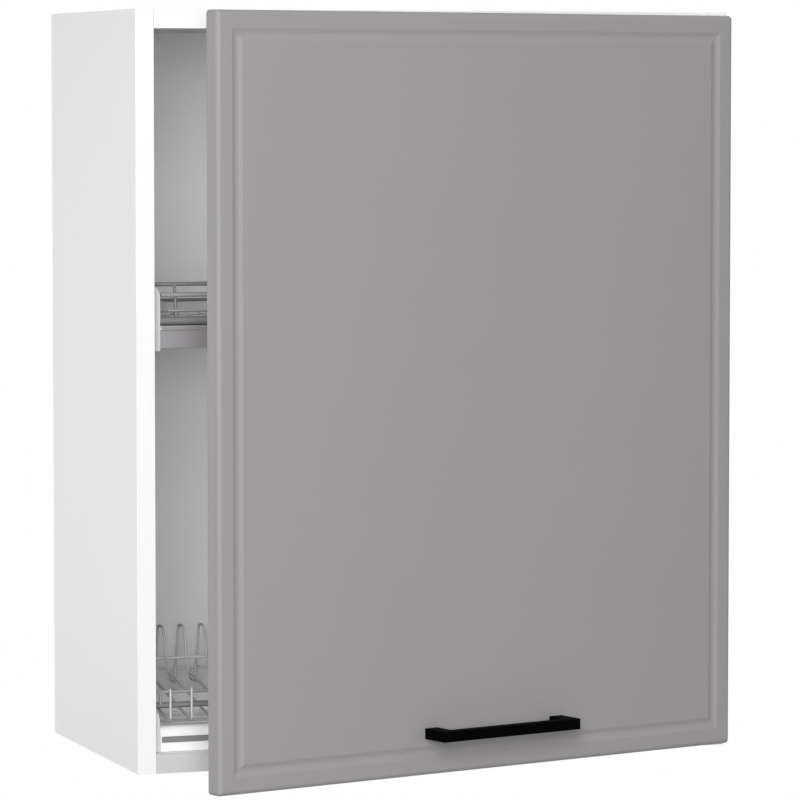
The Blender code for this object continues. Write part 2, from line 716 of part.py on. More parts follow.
def make_cup_shelf(chrome, aluminium):
    """Two fixed rails and the wire shelf that rests on them: grid, front and rear guards."""
    front_face = FRONT + BRACKET_SETBACK + SEAT
    rear_face = BOARDS_REAR - BRACKET_REAR_ROOM - SEAT
    make_rail("shelf_rail_front", front_face, True, aluminium)
    make_rail("shelf_rail_rear", rear_face, False, aluminium)
    low = RACK_LEFT + LIFT_END_ROOM
    high = RACK_RIGHT - LIFT_END_ROOM
    seat = RAIL_TOP + SEAT
    rod_y = FRONT + RACK_ROD_SETBACK
    crest_y = rod_y + GUARD_LEAN
    base = seat + GUARD_ROD
    crest = RAIL_BOTTOM - SHELF_BRACKET_DROP + SHELF_BRACKET_HEIGHT + SEAT + SHELF_ROD
    guard = rod("shelf_front_guard", INNER_LEFT + ROD_END_ROOM, INNER_RIGHT - ROD_END_ROOM,
                crest_y, crest, SHELF_ROD, chrome)
    wires = [rod("guard_base", low, high, rod_y, base, GUARD_ROD, sides=12)]
    places = spread(RACK_LEFT + GUARD_END_ROOM, RACK_RIGHT - GUARD_END_ROOM, GUARD_POST_COUNT)
    for x in places:
        loops = []
        for y, z in ((rod_y, base), (crest_y, crest)):
            loops.append([(u, v, z) for u, v in arc((x, y), GUARD_POST, 0, math.tau, 8)[:-1]])
        wires.append(loft("guard_post", loops))
    bars = ((UPPER_BAR, UPPER_BAR_DROP, UPPER_BAR_END), (LOWER_BAR, LOWER_BAR_DROP, LOWER_BAR_END))
    for radius, drop, end in bars:
        post_y = crest_y - GUARD_LEAN * drop / (crest - base)
        y = post_y - GUARD_POST - radius + BAR_BITE
        wires.append(rod("guard_bar", RACK_LEFT + end, RACK_RIGHT - end, y, crest - drop, radius, sides=8))
    combine(guard, "UNION", wires)
    rods = spread(rod_y + GUARD_ROD + SEAT + GRID_BAR, rear_face - GRID_BAR, GRID_ROD_COUNT)
    wires = spread(low + GRID_END_ROOM, high - GRID_END_ROOM, GRID_WIRE_COUNT)
    cuts_x = [low, *bar_cuts(wires, GRID_BAR), high]
    cuts_y = bar_cuts(rods, GRID_BAR)
    cell_plate("shelf_grid", cuts_x, cuts_y, lambda i, j: i % 2 == 1 or j % 2 == 0,
               along_z, seat, seat + GRID_BAR, chrome)
    floor = seat + GRID_BAR + SEAT
    crest = floor + REAR_GUARD_RISE
    cuts_x = [low, *bar_cuts(places, GRID_BAR), high]
    rear = rods[-1]
    cell_plate("shelf_rear_guard", cuts_x, [floor, crest - REAR_GUARD_BAR, crest],
               lambda i, j: i % 2 == 1 or j == 1, along_y, rear - GRID_BAR / 2, rear + GRID_BAR / 2, chrome)


def divider_corners():
    """Corners of a divider wire in Y and Z, from the top of its front picket to its rear hook."""
    front = FRONT + RACK_ROD_SETBACK - THICK_ROD - SEAT - WIRE
    length = BOARDS_REAR - PLATE_RACK_REAR_ROOM - front
    base = TRAY_TOP + RACK_CLEARANCE + WIRE
    shares = zip(DIVIDER_LENGTH_SHARE, DIVIDER_RISE_SHARE)
    return [Vector((front + length * along, base + DIVIDER_RISE * up)) for along, up in shares]


def make_plate_rack(chrome):
    """A front frame on the brackets, a rear frame and the row of divider wires."""
    corners = divider_corners()
    rod_y = FRONT + RACK_ROD_SETBACK
    thick_z = RACK_SEAT + SEAT + THICK_ROD
    low = INNER_LEFT + ROD_END_ROOM
    high = INNER_RIGHT - ROD_END_ROOM
    front = rod("plate_rack_front_frame", low, high, rod_y, thick_z, THICK_ROD, chrome, 12)
    thin_y = corners[0][0] + WIRE + SEAT + THIN_ROD
    thin_z = thick_z + THIN_ROD_RISE
    parts = [rod("thin_rod", low, high, thin_y, thin_z, THIN_ROD, sides=8)]
    for x in (RACK_LEFT, RACK_RIGHT):
        profile = ((WIRE, thick_z), (WIRE, thin_z))
        parts.append(turned("frame_end", profile, (x, thin_y + SEAT), along_z, 8))
    combine(front, "UNION", parts)

    leg = corners[4] - corners[3]
    beside = Vector((leg.y, -leg.x)).normalized() * (WIRE + THIN_ROD + SEAT)
    first = corners[4] + beside
    last = corners[-1] + Vector((0, SEAT + THIN_ROD))
    low = RACK_LEFT + LIFT_END_ROOM + THIN_ROD
    high = RACK_RIGHT - LIFT_END_ROOM - THIN_ROD
    ring = [(low, *first), (high, *first), (high, *last), (low, *last)]
    bends = [REAR_FRAME_BEND] * len(ring)
    course = bent_path([ring[-1], *ring, ring[0]], bends)[1:-1]
    tube("plate_rack_rear_frame", course, THIN_ROD, chrome, closed=True)

    course = bent_path([(0, *corner) for corner in corners], DIVIDER_BENDS)
    places = spread(RACK_LEFT + FIRST_DIVIDER_ROOM, RACK_RIGHT - LAST_DIVIDER_ROOM, DIVIDER_COUNT)
    for number, x in enumerate(places, 1):
        divider = tube(f"plate_divider_{number:02d}", course, WIRE, chrome)
        divider.location.x = x


def make_tray(plastic):
    """The drip tray: an open box with a finger channel along its deep front wall."""
    left = INNER_LEFT + TRAY_SIDE_ROOM
    right = INNER_RIGHT - TRAY_SIDE_ROOM
    front = FRONT + TRAY_SETBACK
    rear = BOARDS_REAR - TRAY_REAR_ROOM
    tray = box("drip_tray", (left, front, TRAY_BOTTOM), (right, rear, TRAY_TOP), plastic)
    hollow = box(
        "tray_hollow",
        (left + TRAY_WALL, front + TRAY_FRONT_WALL, TRAY_BOTTOM + TRAY_FLOOR),
        (right - TRAY_WALL, rear - TRAY_WALL, TRAY_TOP + OVERRUN),
    )
    groove = TRAY_BOTTOM + TRAY_CHANNEL_RISE
    channel = box(
        "tray_channel",
        (left + TRAY_CHANNEL_END, front - OVERRUN, groove),
        (right - TRAY_CHANNEL_END, front + TRAY_CHANNEL_DEPTH, groove + TRAY_CHANNEL),
    )
    combine(tray, "DIFFERENCE", [hollow, channel])


def main():
    """Build the cabinet with its door ajar."""
    clear_scene()
    board = finish("white_laminate", (0.86, 0.86, 0.87), 0.45)
    back = finish("white_back_board", (0.8, 0.8, 0.81), 0.55)
    lacquer = finish("grey_lacquer", (0.33, 0.32, 0.32), 0.5)
    black = finish("black_metal", (0.01, 0.01, 0.01), 0.4)
    steel = finish("plated_steel", (0.6, 0.6, 0.6), 0.3, 1.0)
    chrome = finish("chromed_wire", (0.7, 0.7, 0.7), 0.2, 1.0)
    aluminium = finish("shelf_aluminium", (0.6, 0.6, 0.62), 0.35, 1.0)
    grey_plastic = finish("grey_plastic", (0.6, 0.6, 0.6), 0.45)
    white_plastic = finish("white_plastic", (0.9, 0.9, 0.9), 0.35)

    make_carcass(board, back)
    pivots = (
        pivot("inner_link_axis", DOOR_AJAR * INNER_BAND_SHARE),
        pivot("outer_link_axis", DOOR_AJAR * OUTER_BAND_SHARE),
        pivot("door_axis", DOOR_AJAR),
    )
    make_door(lacquer, black, steel, pivots[2])
    for word, level in zip(("lower", "upper"), hinge_levels()):
        make_hinge(word, level, steel, pivots)
    shelf_low = RAIL_BOTTOM - SHELF_BRACKET_DROP
    shelf_size = (SHELF_BRACKET_HEIGHT, BRACKET_THICK, BRACKET_SETBACK)
    rack_size = (RACK_BRACKET_HEIGHT, RACK_BRACKET_THICK, RACK_BRACKET_SETBACK)
    for side, word in ((-1, "left"), (1, "right")):
        make_hanger(side, word, grey_plastic, steel)
        make_bracket(f"shelf_bracket_{word}", side, shelf_low, shelf_size, white_plastic)
        make_bracket(f"rack_bracket_{word}", side, INNER_BOTTOM + SEAT, rack_size, white_plastic)
    make_cup_shelf(chrome, aluminium)
    make_plate_rack(chrome)
    make_tray(white_plastic)


main()
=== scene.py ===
import logging
import math
from collections.abc import Callable, Sequence
from dataclasses import dataclass
from enum import Enum

import bmesh
import bpy
from mathutils import Matrix, Vector


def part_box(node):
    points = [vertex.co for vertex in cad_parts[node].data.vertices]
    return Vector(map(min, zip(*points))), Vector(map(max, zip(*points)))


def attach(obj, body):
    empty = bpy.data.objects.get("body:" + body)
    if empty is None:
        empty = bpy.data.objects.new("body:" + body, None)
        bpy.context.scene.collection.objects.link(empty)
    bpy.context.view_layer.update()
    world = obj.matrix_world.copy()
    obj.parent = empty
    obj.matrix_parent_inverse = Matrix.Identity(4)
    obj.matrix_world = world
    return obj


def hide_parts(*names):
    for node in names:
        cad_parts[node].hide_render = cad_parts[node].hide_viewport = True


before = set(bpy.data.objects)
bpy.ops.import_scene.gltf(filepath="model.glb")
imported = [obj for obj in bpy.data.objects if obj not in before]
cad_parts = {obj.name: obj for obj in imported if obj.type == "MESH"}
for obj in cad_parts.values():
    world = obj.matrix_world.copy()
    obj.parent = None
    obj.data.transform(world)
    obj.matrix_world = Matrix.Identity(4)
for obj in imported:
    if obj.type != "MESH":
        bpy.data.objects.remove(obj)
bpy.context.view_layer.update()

LOG = logging.getLogger("dish_cabinet")

MM = 0.001
SHARP = math.radians(35)
SEAT = 0.3 * MM
OVERRUN = 5 * MM
DOOR_AJAR = math.radians(15.5)
DOOR_FRONT = -320 * MM
DOOR_REAR = -302 * MM
HINGE_AXIS = Vector((292.3 * MM, -314 * MM, 0))
HINGE_LEVELS = {"lower": -219.5 * MM, "upper": 219.5 * MM}
CUP_X = 276 * MM
RACK_REACH = 268.5 * MM
DOME_TURNS = (math.radians(40), math.radians(75))
DOME_HEIGHT = 0.5

Mesh = bmesh.types.BMesh
Point = tuple[float, float, float]
Outline = Sequence[tuple[float, float]]
Place = Callable[[float, float, float], Point]


class Body(Enum):
    """The rigid bodies that pieces ride on."""

    CARCASS = "carcass"
    DOOR = "door"
    OUTER_LINKS = "outer_links"
    INNER_LINKS = "inner_links"
    CUP_SHELF = "cup_shelf"
    PLATE_RACK = "plate_rack"
    TRAY = "tray"


TURN_SHARE = {Body.DOOR: 1.0, Body.OUTER_LINKS: 1 / 3, Body.INNER_LINKS: 2 / 3}


class Slot(Enum):
    """The record's material slots."""

    LAMINATE = "white_laminate"
    BACK = "white_back_board"
    LACQUER = "grey_lacquer"
    BLACK = "black_metal"
    STEEL = "plated_steel"
    CHROME = "chromed_wire"
    ALUMINIUM = "shelf_aluminium"
    GREY_PLASTIC = "grey_plastic"
    WHITE_PLASTIC = "white_plastic"


@dataclass(frozen=True)
class Finish:
    """One procedural surface: a colour, a gloss and a fine grain."""

    name: str
    slot: Slot
    colour: tuple[float, float, float]
    roughness: float
    metallic: float = 0.0
    specular: float = 0.5
    grain: float = 900.0
    grain_to_mottle: float = 60.0
    relief: float = 0.02
    relief_strength: float = 0.4
    mottle: float = 0.02
    gloss_spread: float = 0.1
    stretch: tuple[float, float, float] = (1.0, 1.0, 1.0)

    def material(self) -> bpy.types.Material:
        """Build the material once and hand out the same one afterwards.

        Returns:
            The Blender material of this finish.
        """
        known = bpy.data.materials.get(self.name)
        if known:
            return known
        made = bpy.data.materials.new(self.name)
        made.use_nodes = True
        nodes = made.node_tree.nodes
        links = made.node_tree.links
        shader = nodes["Principled BSDF"]
        shader.inputs["Metallic"].default_value = self.metallic
        shader.inputs["Specular IOR Level"].default_value = self.specular
        place = nodes.new("ShaderNodeTexCoord")
        scale = nodes.new("ShaderNodeMapping")
        scale.inputs["Scale"].default_value = self.stretch
        links.new(place.outputs["Object"], scale.inputs["Vector"])
        fine = self._noise(nodes, links, scale, self.grain, 3)
        broad = self._noise(nodes, links, scale, self.grain / self.grain_to_mottle, 2)
        tint = nodes.new("ShaderNodeMix")
        tint.data_type = "RGBA"
        for socket, change in (("A", 1 - self.mottle), ("B", 1 + self.mottle)):
            tint.inputs[socket].default_value = (*(c * change for c in self.colour), 1)
        links.new(broad.outputs["Fac"], tint.inputs["Factor"])
        links.new(tint.outputs["Result"], shader.inputs["Base Color"])
        gloss = nodes.new("ShaderNodeMapRange")
        for socket, change in (("To Min", 1 - self.gloss_spread), ("To Max", 1 + self.gloss_spread)):
            gloss.inputs[socket].default_value = self.roughness * change
        links.new(fine.outputs["Fac"], gloss.inputs["Value"])
        links.new(gloss.outputs["Result"], shader.inputs["Roughness"])
        bump = nodes.new("ShaderNodeBump")
        bump.inputs["Strength"].default_value = self.relief_strength
        bump.inputs["Distance"].default_value = self.relief * MM
        links.new(fine.outputs["Fac"], bump.inputs["Height"])
        links.new(bump.outputs["Normal"], shader.inputs["Normal"])
        return made

    @staticmethod
    def _noise(
        nodes: bpy.types.Nodes,
        links: bpy.types.NodeLinks,
        source: bpy.types.Node,
        scale: float,
        detail: float,
    ) -> bpy.types.Node:
        """Add one noise texture that reads the scaled object coordinates.

        Args:
            nodes: The material's nodes.
            links: The material's links.
            source: The mapping node that scales the coordinates.
            scale: Grains per metre.
            detail: Octaves of the noise.

        Returns:
            The noise node.
        """
        noise = nodes.new("ShaderNodeTexNoise")
        noise.inputs["Scale"].default_value = scale
        noise.inputs["Detail"].default_value = detail
        links.new(source.outputs["Vector"], noise.inputs["Vector"])
        return noise


LAMINATE = Finish("board_laminate", Slot.LAMINATE, (0.88, 0.87, 0.88), 0.42, relief=0.03, mottle=0.006)
EDGE_BAND = Finish("board_edge_band", Slot.LAMINATE, (0.93, 0.92, 0.93), 0.35, relief=0.01, mottle=0.004)
# The bottom panel's front band is the edge band drawn darker: painted shade of the open door and the dark
# floor below.
SHADED_BOTTOM_BAND = Finish("bottom_band_painted_shade", Slot.LAMINATE, (0.62, 0.61, 0.62), 0.45, relief=0.01, mottle=0.006)
BACK_BOARD = Finish("thin_back_board", Slot.BACK, (0.93, 0.92, 0.93), 0.5, relief=0.02, mottle=0.01)
DOOR_FILM = Finish("door_matt_film", Slot.LACQUER, (0.322, 0.312, 0.312), 0.5, specular=0.35,
                   relief=0.02, mottle=0.012)
BLACK_COAT = Finish("handle_powder_coat", Slot.BLACK, (0.0015, 0.0012, 0.0012), 0.6, specular=0.01,
                    grain=2500, relief=0.02, mottle=0.1)
NICKEL = Finish("nickel_plate", Slot.STEEL, (0.62, 0.61, 0.6), 0.24, metallic=1.0,
                relief=0.005, mottle=0.03)
LIGHT_WIRE = Finish("grid_wire_plating", Slot.CHROME, (0.72, 0.71, 0.72), 0.5, metallic=0.3, specular=0.3,
                    relief=0.004, mottle=0.03)
# Divider wires, thin rods and frame rods are the same chromed wire as the grid, drawn darker: painted shade
# and painted reflection of the shaded cabinet inside, darkest on the frame rods.
SHADED_DIVIDER_WIRE = Finish("divider_wire_painted_shade", Slot.CHROME, (0.62, 0.61, 0.62), 0.48, metallic=0.2, specular=0.3,
                   relief=0.004, mottle=0.03)
HALF_SHADED_THIN_ROD = Finish("thin_rod_painted_shade", Slot.CHROME, (0.37, 0.365, 0.37), 0.5, metallic=0.3, specular=0.2,
                  relief=0.004, mottle=0.03)
SHADED_FRAME_ROD = Finish("frame_rod_painted_shade", Slot.CHROME, (0.24, 0.235, 0.24), 0.5, metallic=0.3, specular=0.2,
                  relief=0.004, mottle=0.03)
ALUMINIUM = Finish("brushed_rail", Slot.ALUMINIUM, (0.52, 0.51, 0.52), 0.36, metallic=1.0,
                   grain=5000, relief=0.01, mottle=0.03, stretch=(0.01, 1.0, 1.0))
GREY_MOULDING = Finish("hanger_moulding", Slot.GREY_PLASTIC, (0.6, 0.59, 0.6), 0.45,
                       relief=0.02, mottle=0.01)
BRACKET_MOULDING = Finish("bracket_moulding", Slot.WHITE_PLASTIC, (0.68, 0.67, 0.68), 0.45,
                          relief=0.01, mottle=0.006)
WHITE_MOULDING = Finish("tray_moulding", Slot.WHITE_PLASTIC, (0.95, 0.94, 0.95), 0.3,
                        relief=0.008, mottle=0.004)
# A dark grey strip laid in the tray's channel: painted shade of the recess.
CHANNEL_SHADE_STRIP = Finish("tray_channel_painted_shade", Slot.GREY_PLASTIC, (0.24, 0.235, 0.24), 0.6, specular=0.2,
                    relief=0.02, mottle=0.02)
RUBBER = Finish("bumper_rubber", Slot.WHITE_PLASTIC, (0.75, 0.75, 0.73), 0.35, relief=0.01, mottle=0.02)


def along_x(u: float, v: float, w: float) -> Point:
    """Outline in Y and Z, level along X."""
    return (w, u, v)


def along_y(u: float, v: float, w: float) -> Point:
    """Outline in X and Z, level along Y."""
    return (u, w, v)


def along_z(u: float, v: float, w: float) -> Point:
    """Outline in X and Y, level along Z."""
    return (u, v, w)


def spread(low: float, high: float, count: int) -> list[float]:
    """Evenly spaced values from low to high, both included."""
    return [low + (high - low) * i / (count - 1) for i in range(count)]


def arc(centre: tuple[float, float], radius: float, start: float, end: float,
        steps: int) -> list[tuple[float, float]]:
    """Points on an arc, from the start angle to the end angle in radians."""
    turns = spread(start, end, steps + 1)
    return [(centre[0] + radius * math.cos(a), centre[1] + radius * math.sin(a)) for a in turns]


def loft(loops: Sequence[Sequence[Point]], closed: bool = False) -> Mesh:
    """Skin loops of equal length.

    Args:
        loops: The loops in order, each a list of points.
        closed: Whether the last loop joins the first one instead of both being capped.

    Returns:
        The skinned mesh.
    """
    shape = bmesh.new()
    rings = [[shape.verts.new(point) for point in loop] for loop in loops]
    followers = rings[1:] + (rings[:1] if closed else [])
    for ring, following in zip(rings, followers):
        for i in range(len(ring)):
            j = (i + 1) % len(ring)
            shape.faces.new((ring[i], ring[j], following[j], following[i]))
    if not closed:
        shape.faces.new(rings[0])
        shape.faces.new(rings[-1])
    bmesh.ops.recalc_face_normals(shape, faces=shape.faces)
    return shape


def ease(shape: Mesh, width: float) -> Mesh:
    """Round the sharp edges of a shape.

    Args:
        shape: The mesh, which is changed.
        width: Width of the rounding.

    Returns:
        The same mesh.
    """
    edges = [e for e in shape.edges if e.is_manifold and e.calc_face_angle(0) > SHARP]
    bmesh.ops.bevel(shape, geom=edges, offset=width, segments=2, profile=0.5,
                    affect="EDGES", clamp_overlap=True)
    return shape


def prism(outline: Outline, place: Place, low: float, high: float, edge: float = 0.0) -> Mesh:
    """Extrude an outline between two levels.

    Args:
        outline: The outline's points in the plane.
        place: Turns a point of the outline and a level into space.
        low: The first level.
        high: The last level.
        edge: Width of the rounding of every sharp edge.

    Returns:
        The extruded mesh.
    """
    shape = loft([[place(u, v, w) for u, v in outline] for w in (low, high)])
    return ease(shape, edge) if edge else shape


def slab(low: Sequence[float], high: Sequence[float], edge: float = 0.0) -> Mesh:
    """A box between two corners with rounded edges."""
    outline = [(low[0], low[1]), (high[0], low[1]), (high[0], high[1]), (low[0], high[1])]
    return prism(outline, along_z, low[2], high[2], edge)


def lathe(profile: Outline, centre: tuple[float, float], place: Place, sides: int = 32) -> Mesh:
    """Turn a profile of radius and level about an axis through the centre."""
    return loft([[place(u, v, level) for u, v in arc(centre, radius, 0, math.tau, sides)[:-1]]
                 for radius, level in profile])


def button(shares: Outline, centre: tuple[float, float], place: Place, level: float, rise: float,
           radius: float, sides: int) -> Mesh:
    """Turn a low round head.

    Args:
        shares: Its profile as shares of its radius and its rise.
        centre: Its axis in the plane.
        place: Turns a point of the plane and a level into space.
        level: The level of the face that it stands on.
        rise: How far it stands out of that face.
        radius: Its largest radius.
        sides: Sides of its cross-section.

    Returns:
        The head's mesh.
    """
    return lathe([(radius * across, level + rise * up) for across, up in shares], centre, place, sides)


def merge(shapes: Sequence[Mesh]) -> Mesh:
    """Gather several shapes, such as welded rods, into one mesh.

    Args:
        shapes: The meshes; all but the first are freed.

    Returns:
        The first mesh with all the others in it.
    """
    whole = shapes[0]
    for part in shapes[1:]:
        mesh = bpy.data.meshes.new("part")
        part.to_mesh(mesh)
        part.free()
        whole.from_mesh(mesh)
        bpy.data.meshes.remove(mesh)
    return whole


def bent_path(points: Sequence[Sequence[float]], radii: Sequence[float],
              step: float = math.radians(14)) -> list[Vector]:
    """Round the inner corners of a path.

    Args:
        points: The corners, with the two ends.
        radii: One bend radius for each inner corner.
        step: The largest turn between two points of a bend.

    Returns:
        The path's points.
    """
    path = [Vector(points[0])]
    for before, corner, after, radius in zip(points, points[1:], points[2:], radii):
        corner = Vector(corner)
        back = (Vector(before) - corner).normalized()
        ahead = (Vector(after) - corner).normalized()
        half = back.angle(ahead) / 2
        inset = radius / math.tan(half)
        centre = corner + (back + ahead).normalized() * radius / math.sin(half)
        first = (corner + back * inset - centre).normalized()
        last = (corner + ahead * inset - centre).normalized()
        steps = max(2, round(first.angle(last) / step))
        path += [centre + first.slerp(last, i / steps) * radius for i in range(steps + 1)]
    return [*path, Vector(points[-1])]


def sweep(path: Sequence[Vector], radius: float, sides: int = 12, closed: bool = False) -> Mesh:
    """Draw a round wire along a path, with rounded ends.

    Args:
        path: The points of the wire's centre line.
        radius: The wire's radius.
        sides: Sides of its cross-section.
        closed: Whether the path is a ring.

    Returns:
        The wire's mesh.
    """
    path = [Vector(point) for point in path]
    count = len(path)
    tangents = []
    for i, point in enumerate(path):
        before = path[i - 1] if closed or i else point
        after = path[(i + 1) % count] if closed or i < count - 1 else point
        tangents.append((after - before).normalized())
    across = tangents[0].orthogonal().normalized()
    loops = []
    for i, (point, tangent) in enumerate(zip(path, tangents)):
        if i:
            across = tangents[i - 1].rotation_difference(tangent) @ across
        beside = tangent.cross(across)
        ring = [point + (across * math.cos(a) + beside * math.sin(a)) * radius
                for a in spread(0, math.tau, sides + 1)[:-1]]
        loops.append((point, tangent, ring))
    rings = [ring for _, _, ring in loops]
    if not closed:
        rings = [*round_end(loops[0], -1, radius)[::-1], *rings, *round_end(loops[-1], 1, radius)]
    return loft(rings, closed)


def round_end(loop: tuple[Vector, Vector, list[Vector]], sense: int, radius: float) -> list[list[Vector]]:
    """Shrinking rings that dome the end of a wire.

    Args:
        loop: The end's point, tangent and ring.
        sense: 1 where the wire ends along its tangent, -1 where it starts.
        radius: The wire's radius.

    Returns:
        The rings, from the widest to the smallest.
    """
    point, tangent, ring = loop
    domes = []
    for turn in DOME_TURNS:
        push = tangent * sense * radius * DOME_HEIGHT * math.sin(turn)
        domes.append([point + push + (corner - point) * math.cos(turn) for corner in ring])
    return domes


def rod_x(low: float, high: float, y: float, z: float, radius: float, sides: int = 16) -> Mesh:
    """A straight wire along X with rounded ends."""
    return sweep([Vector((low, y, z)), Vector((high, y, z))], radius, sides)


def rod_z(x: float, y: float, low: float, high: float, radius: float, sides: int = 12) -> Mesh:
    """A straight wire along Z with rounded ends."""
    return sweep([Vector((x, y, low)), Vector((x, y, high))], radius, sides)


def cross_screw(centre: tuple[float, float], place: Place, foot: float, rise: float, radius: float) -> Mesh:
    """A screw head with a cross recess, as shares of its radius and its rise.

    Args:
        centre: The screw's axis in the plane.
        place: Turns a point of the plane and a level into space.
        foot: The level of the head's underside.
        rise: The head's height, negative where it stands towards lower levels.
        radius: The head's radius.

    Returns:
        The head's mesh.
    """
    arm = radius * 0.5
    half = radius * 0.14
    start = math.radians(-15)
    loops = [[place(u, v, foot + rise * up)
              for u, v in arc(centre, radius * across, start, start + math.tau, 12)[:-1]]
             for across, up in ((1, 0), (1, 0.45), (0.8, 0.9))]
    cross = [(arm, -half), (arm, half), (half, half), (half, arm), (-half, arm), (-half, half),
             (-arm, half), (-arm, -half), (-half, -half), (-half, -arm), (half, -arm), (half, -half)]
    loops += [[place(centre[0] + u, centre[1] + v, foot + rise * up) for u, v in cross] for up in (1, 0.25)]
    return loft(loops)


def add_object(name: str, data: bpy.types.ID) -> bpy.types.Object:
    """Put a mesh, a lamp or a camera into the scene.

    Args:
        name: The new object's name.
        data: What it shows.

    Returns:
        The new object.
    """
    item = bpy.data.objects.new(name, data)
    bpy.context.scene.collection.objects.link(item)
    return item


def add_mesh(name: str, shape: Mesh) -> bpy.types.Object:
    """Put a shape into the scene and free it.

    Args:
        name: The new object's name.
        shape: Its shape.

    Returns:
        The new object.
    """
    mesh = bpy.data.meshes.new(name)
    shape.to_mesh(mesh)
    shape.free()
    return add_object(name, mesh)


def carve(shape: Mesh, cutters: Sequence[Mesh]) -> Mesh:
    """Cut with exact booleans.

    Args:
        shape: The mesh to cut, which is freed.
        cutters: What is cut out of it, freed as well.

    Returns:
        What is left.
    """
    made = [add_mesh("carving", part) for part in (shape, *cutters)]
    for cutter in made[1:]:
        step = made[0].modifiers.new("cut", "BOOLEAN")
        step.operation = "DIFFERENCE"
        step.object = cutter
        step.solver = "EXACT"
    bpy.context.view_layer.update()
    evaluated = made[0].evaluated_get(bpy.context.evaluated_depsgraph_get())
    left = bmesh.new()
    left.from_mesh(evaluated.to_mesh())
    evaluated.to_mesh_clear()
    for item in made:
        mesh = item.data
        bpy.data.objects.remove(item)
        bpy.data.meshes.remove(mesh)
    bmesh.ops.remove_doubles(left, verts=left.verts, dist=0.001 * MM)
    return left


def turned_about_hinge(share: float) -> Matrix:
    """The turn from the closed place to the place at rest, for a share of the door's angle."""
    turn = Matrix.Rotation(DOOR_AJAR * share, 4, "Z")
    return Matrix.Translation(HINGE_AXIS) @ turn @ Matrix.Translation(-HINGE_AXIS)


def dress(item: bpy.types.Object, finish: Finish) -> None:
    """Give an object or a CAD node the material of a finish."""
    item.data.materials.clear()
    item.data.materials.append(finish.material())


def keep_node(name: str, finish: Finish) -> None:
    """Keep a CAD node whose shape is right and give it its finish."""
    dress(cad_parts[name], finish)
    LOG.info("CAD node %s keeps its shape in %s", name, finish.name)


def fit_piece(name: str, shape: Mesh, finish: Finish, body: Body, replaced: Sequence[str] = ()) -> None:
    """Make a piece of the visual model and let it ride on its body.

    Args:
        name: The piece's name.
        shape: Its mesh, drawn with the door closed, which is freed.
        finish: Its surface.
        body: The body that carries it.
        replaced: CAD nodes that it stands for.
    """
    for face in shape.faces:
        face.smooth = True
    for edge in shape.edges:
        edge.smooth = edge.is_manifold and edge.calc_face_angle(0) < SHARP
    item = add_mesh(name, shape)
    if body in TURN_SHARE:
        item.data.transform(turned_about_hinge(TURN_SHARE[body]))
    weighted = item.modifiers.new("flat_faces_stay_flat", "WEIGHTED_NORMAL")
    weighted.keep_sharp = True
    dress(item, finish)
    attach(item, body.value)
    if replaced:
        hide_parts(*replaced)
    LOG.info("%s in %s rides on %s, %d faces", name, finish.name, body.value, len(item.data.polygons))


def fit_screws(name: str, centres: Sequence[tuple[float, float]], place: Place, foot: float, rise: float,
               radius: float, body: Body) -> None:
    """Fit some equal screw heads as one piece.

    Args:
        name: The piece's name.
        centres: The screws' axes in the plane.
        place: Turns a point of the plane and a level into space.
        foot: The level of the heads' undersides.
        rise: The heads' height, negative where they stand towards lower levels.
        radius: The heads' radius.
        body: The body that carries them.
    """
    heads = [cross_screw(centre, place, foot, rise, radius) for centre in centres]
    fit_piece(name, merge(heads), NICKEL, body)


@dataclass(frozen=True)
class Lamp:
    """A soft square lamp that faces the middle of the object."""

    name: str
    position: Point
    size: float
    power: float

    def light_up(self) -> None:
        """Add the lamp to the scene, out of the camera's sight."""
        data = bpy.data.lights.new(self.name, "AREA")
        data.shape = "SQUARE"
        data.size = self.size
        data.energy = self.power
        lamp = add_object(self.name, data)
        lamp.location = self.position
        lamp.visible_camera = False
        lamp.rotation_euler = (-Vector(self.position)).to_track_quat("-Z", "Y").to_euler()


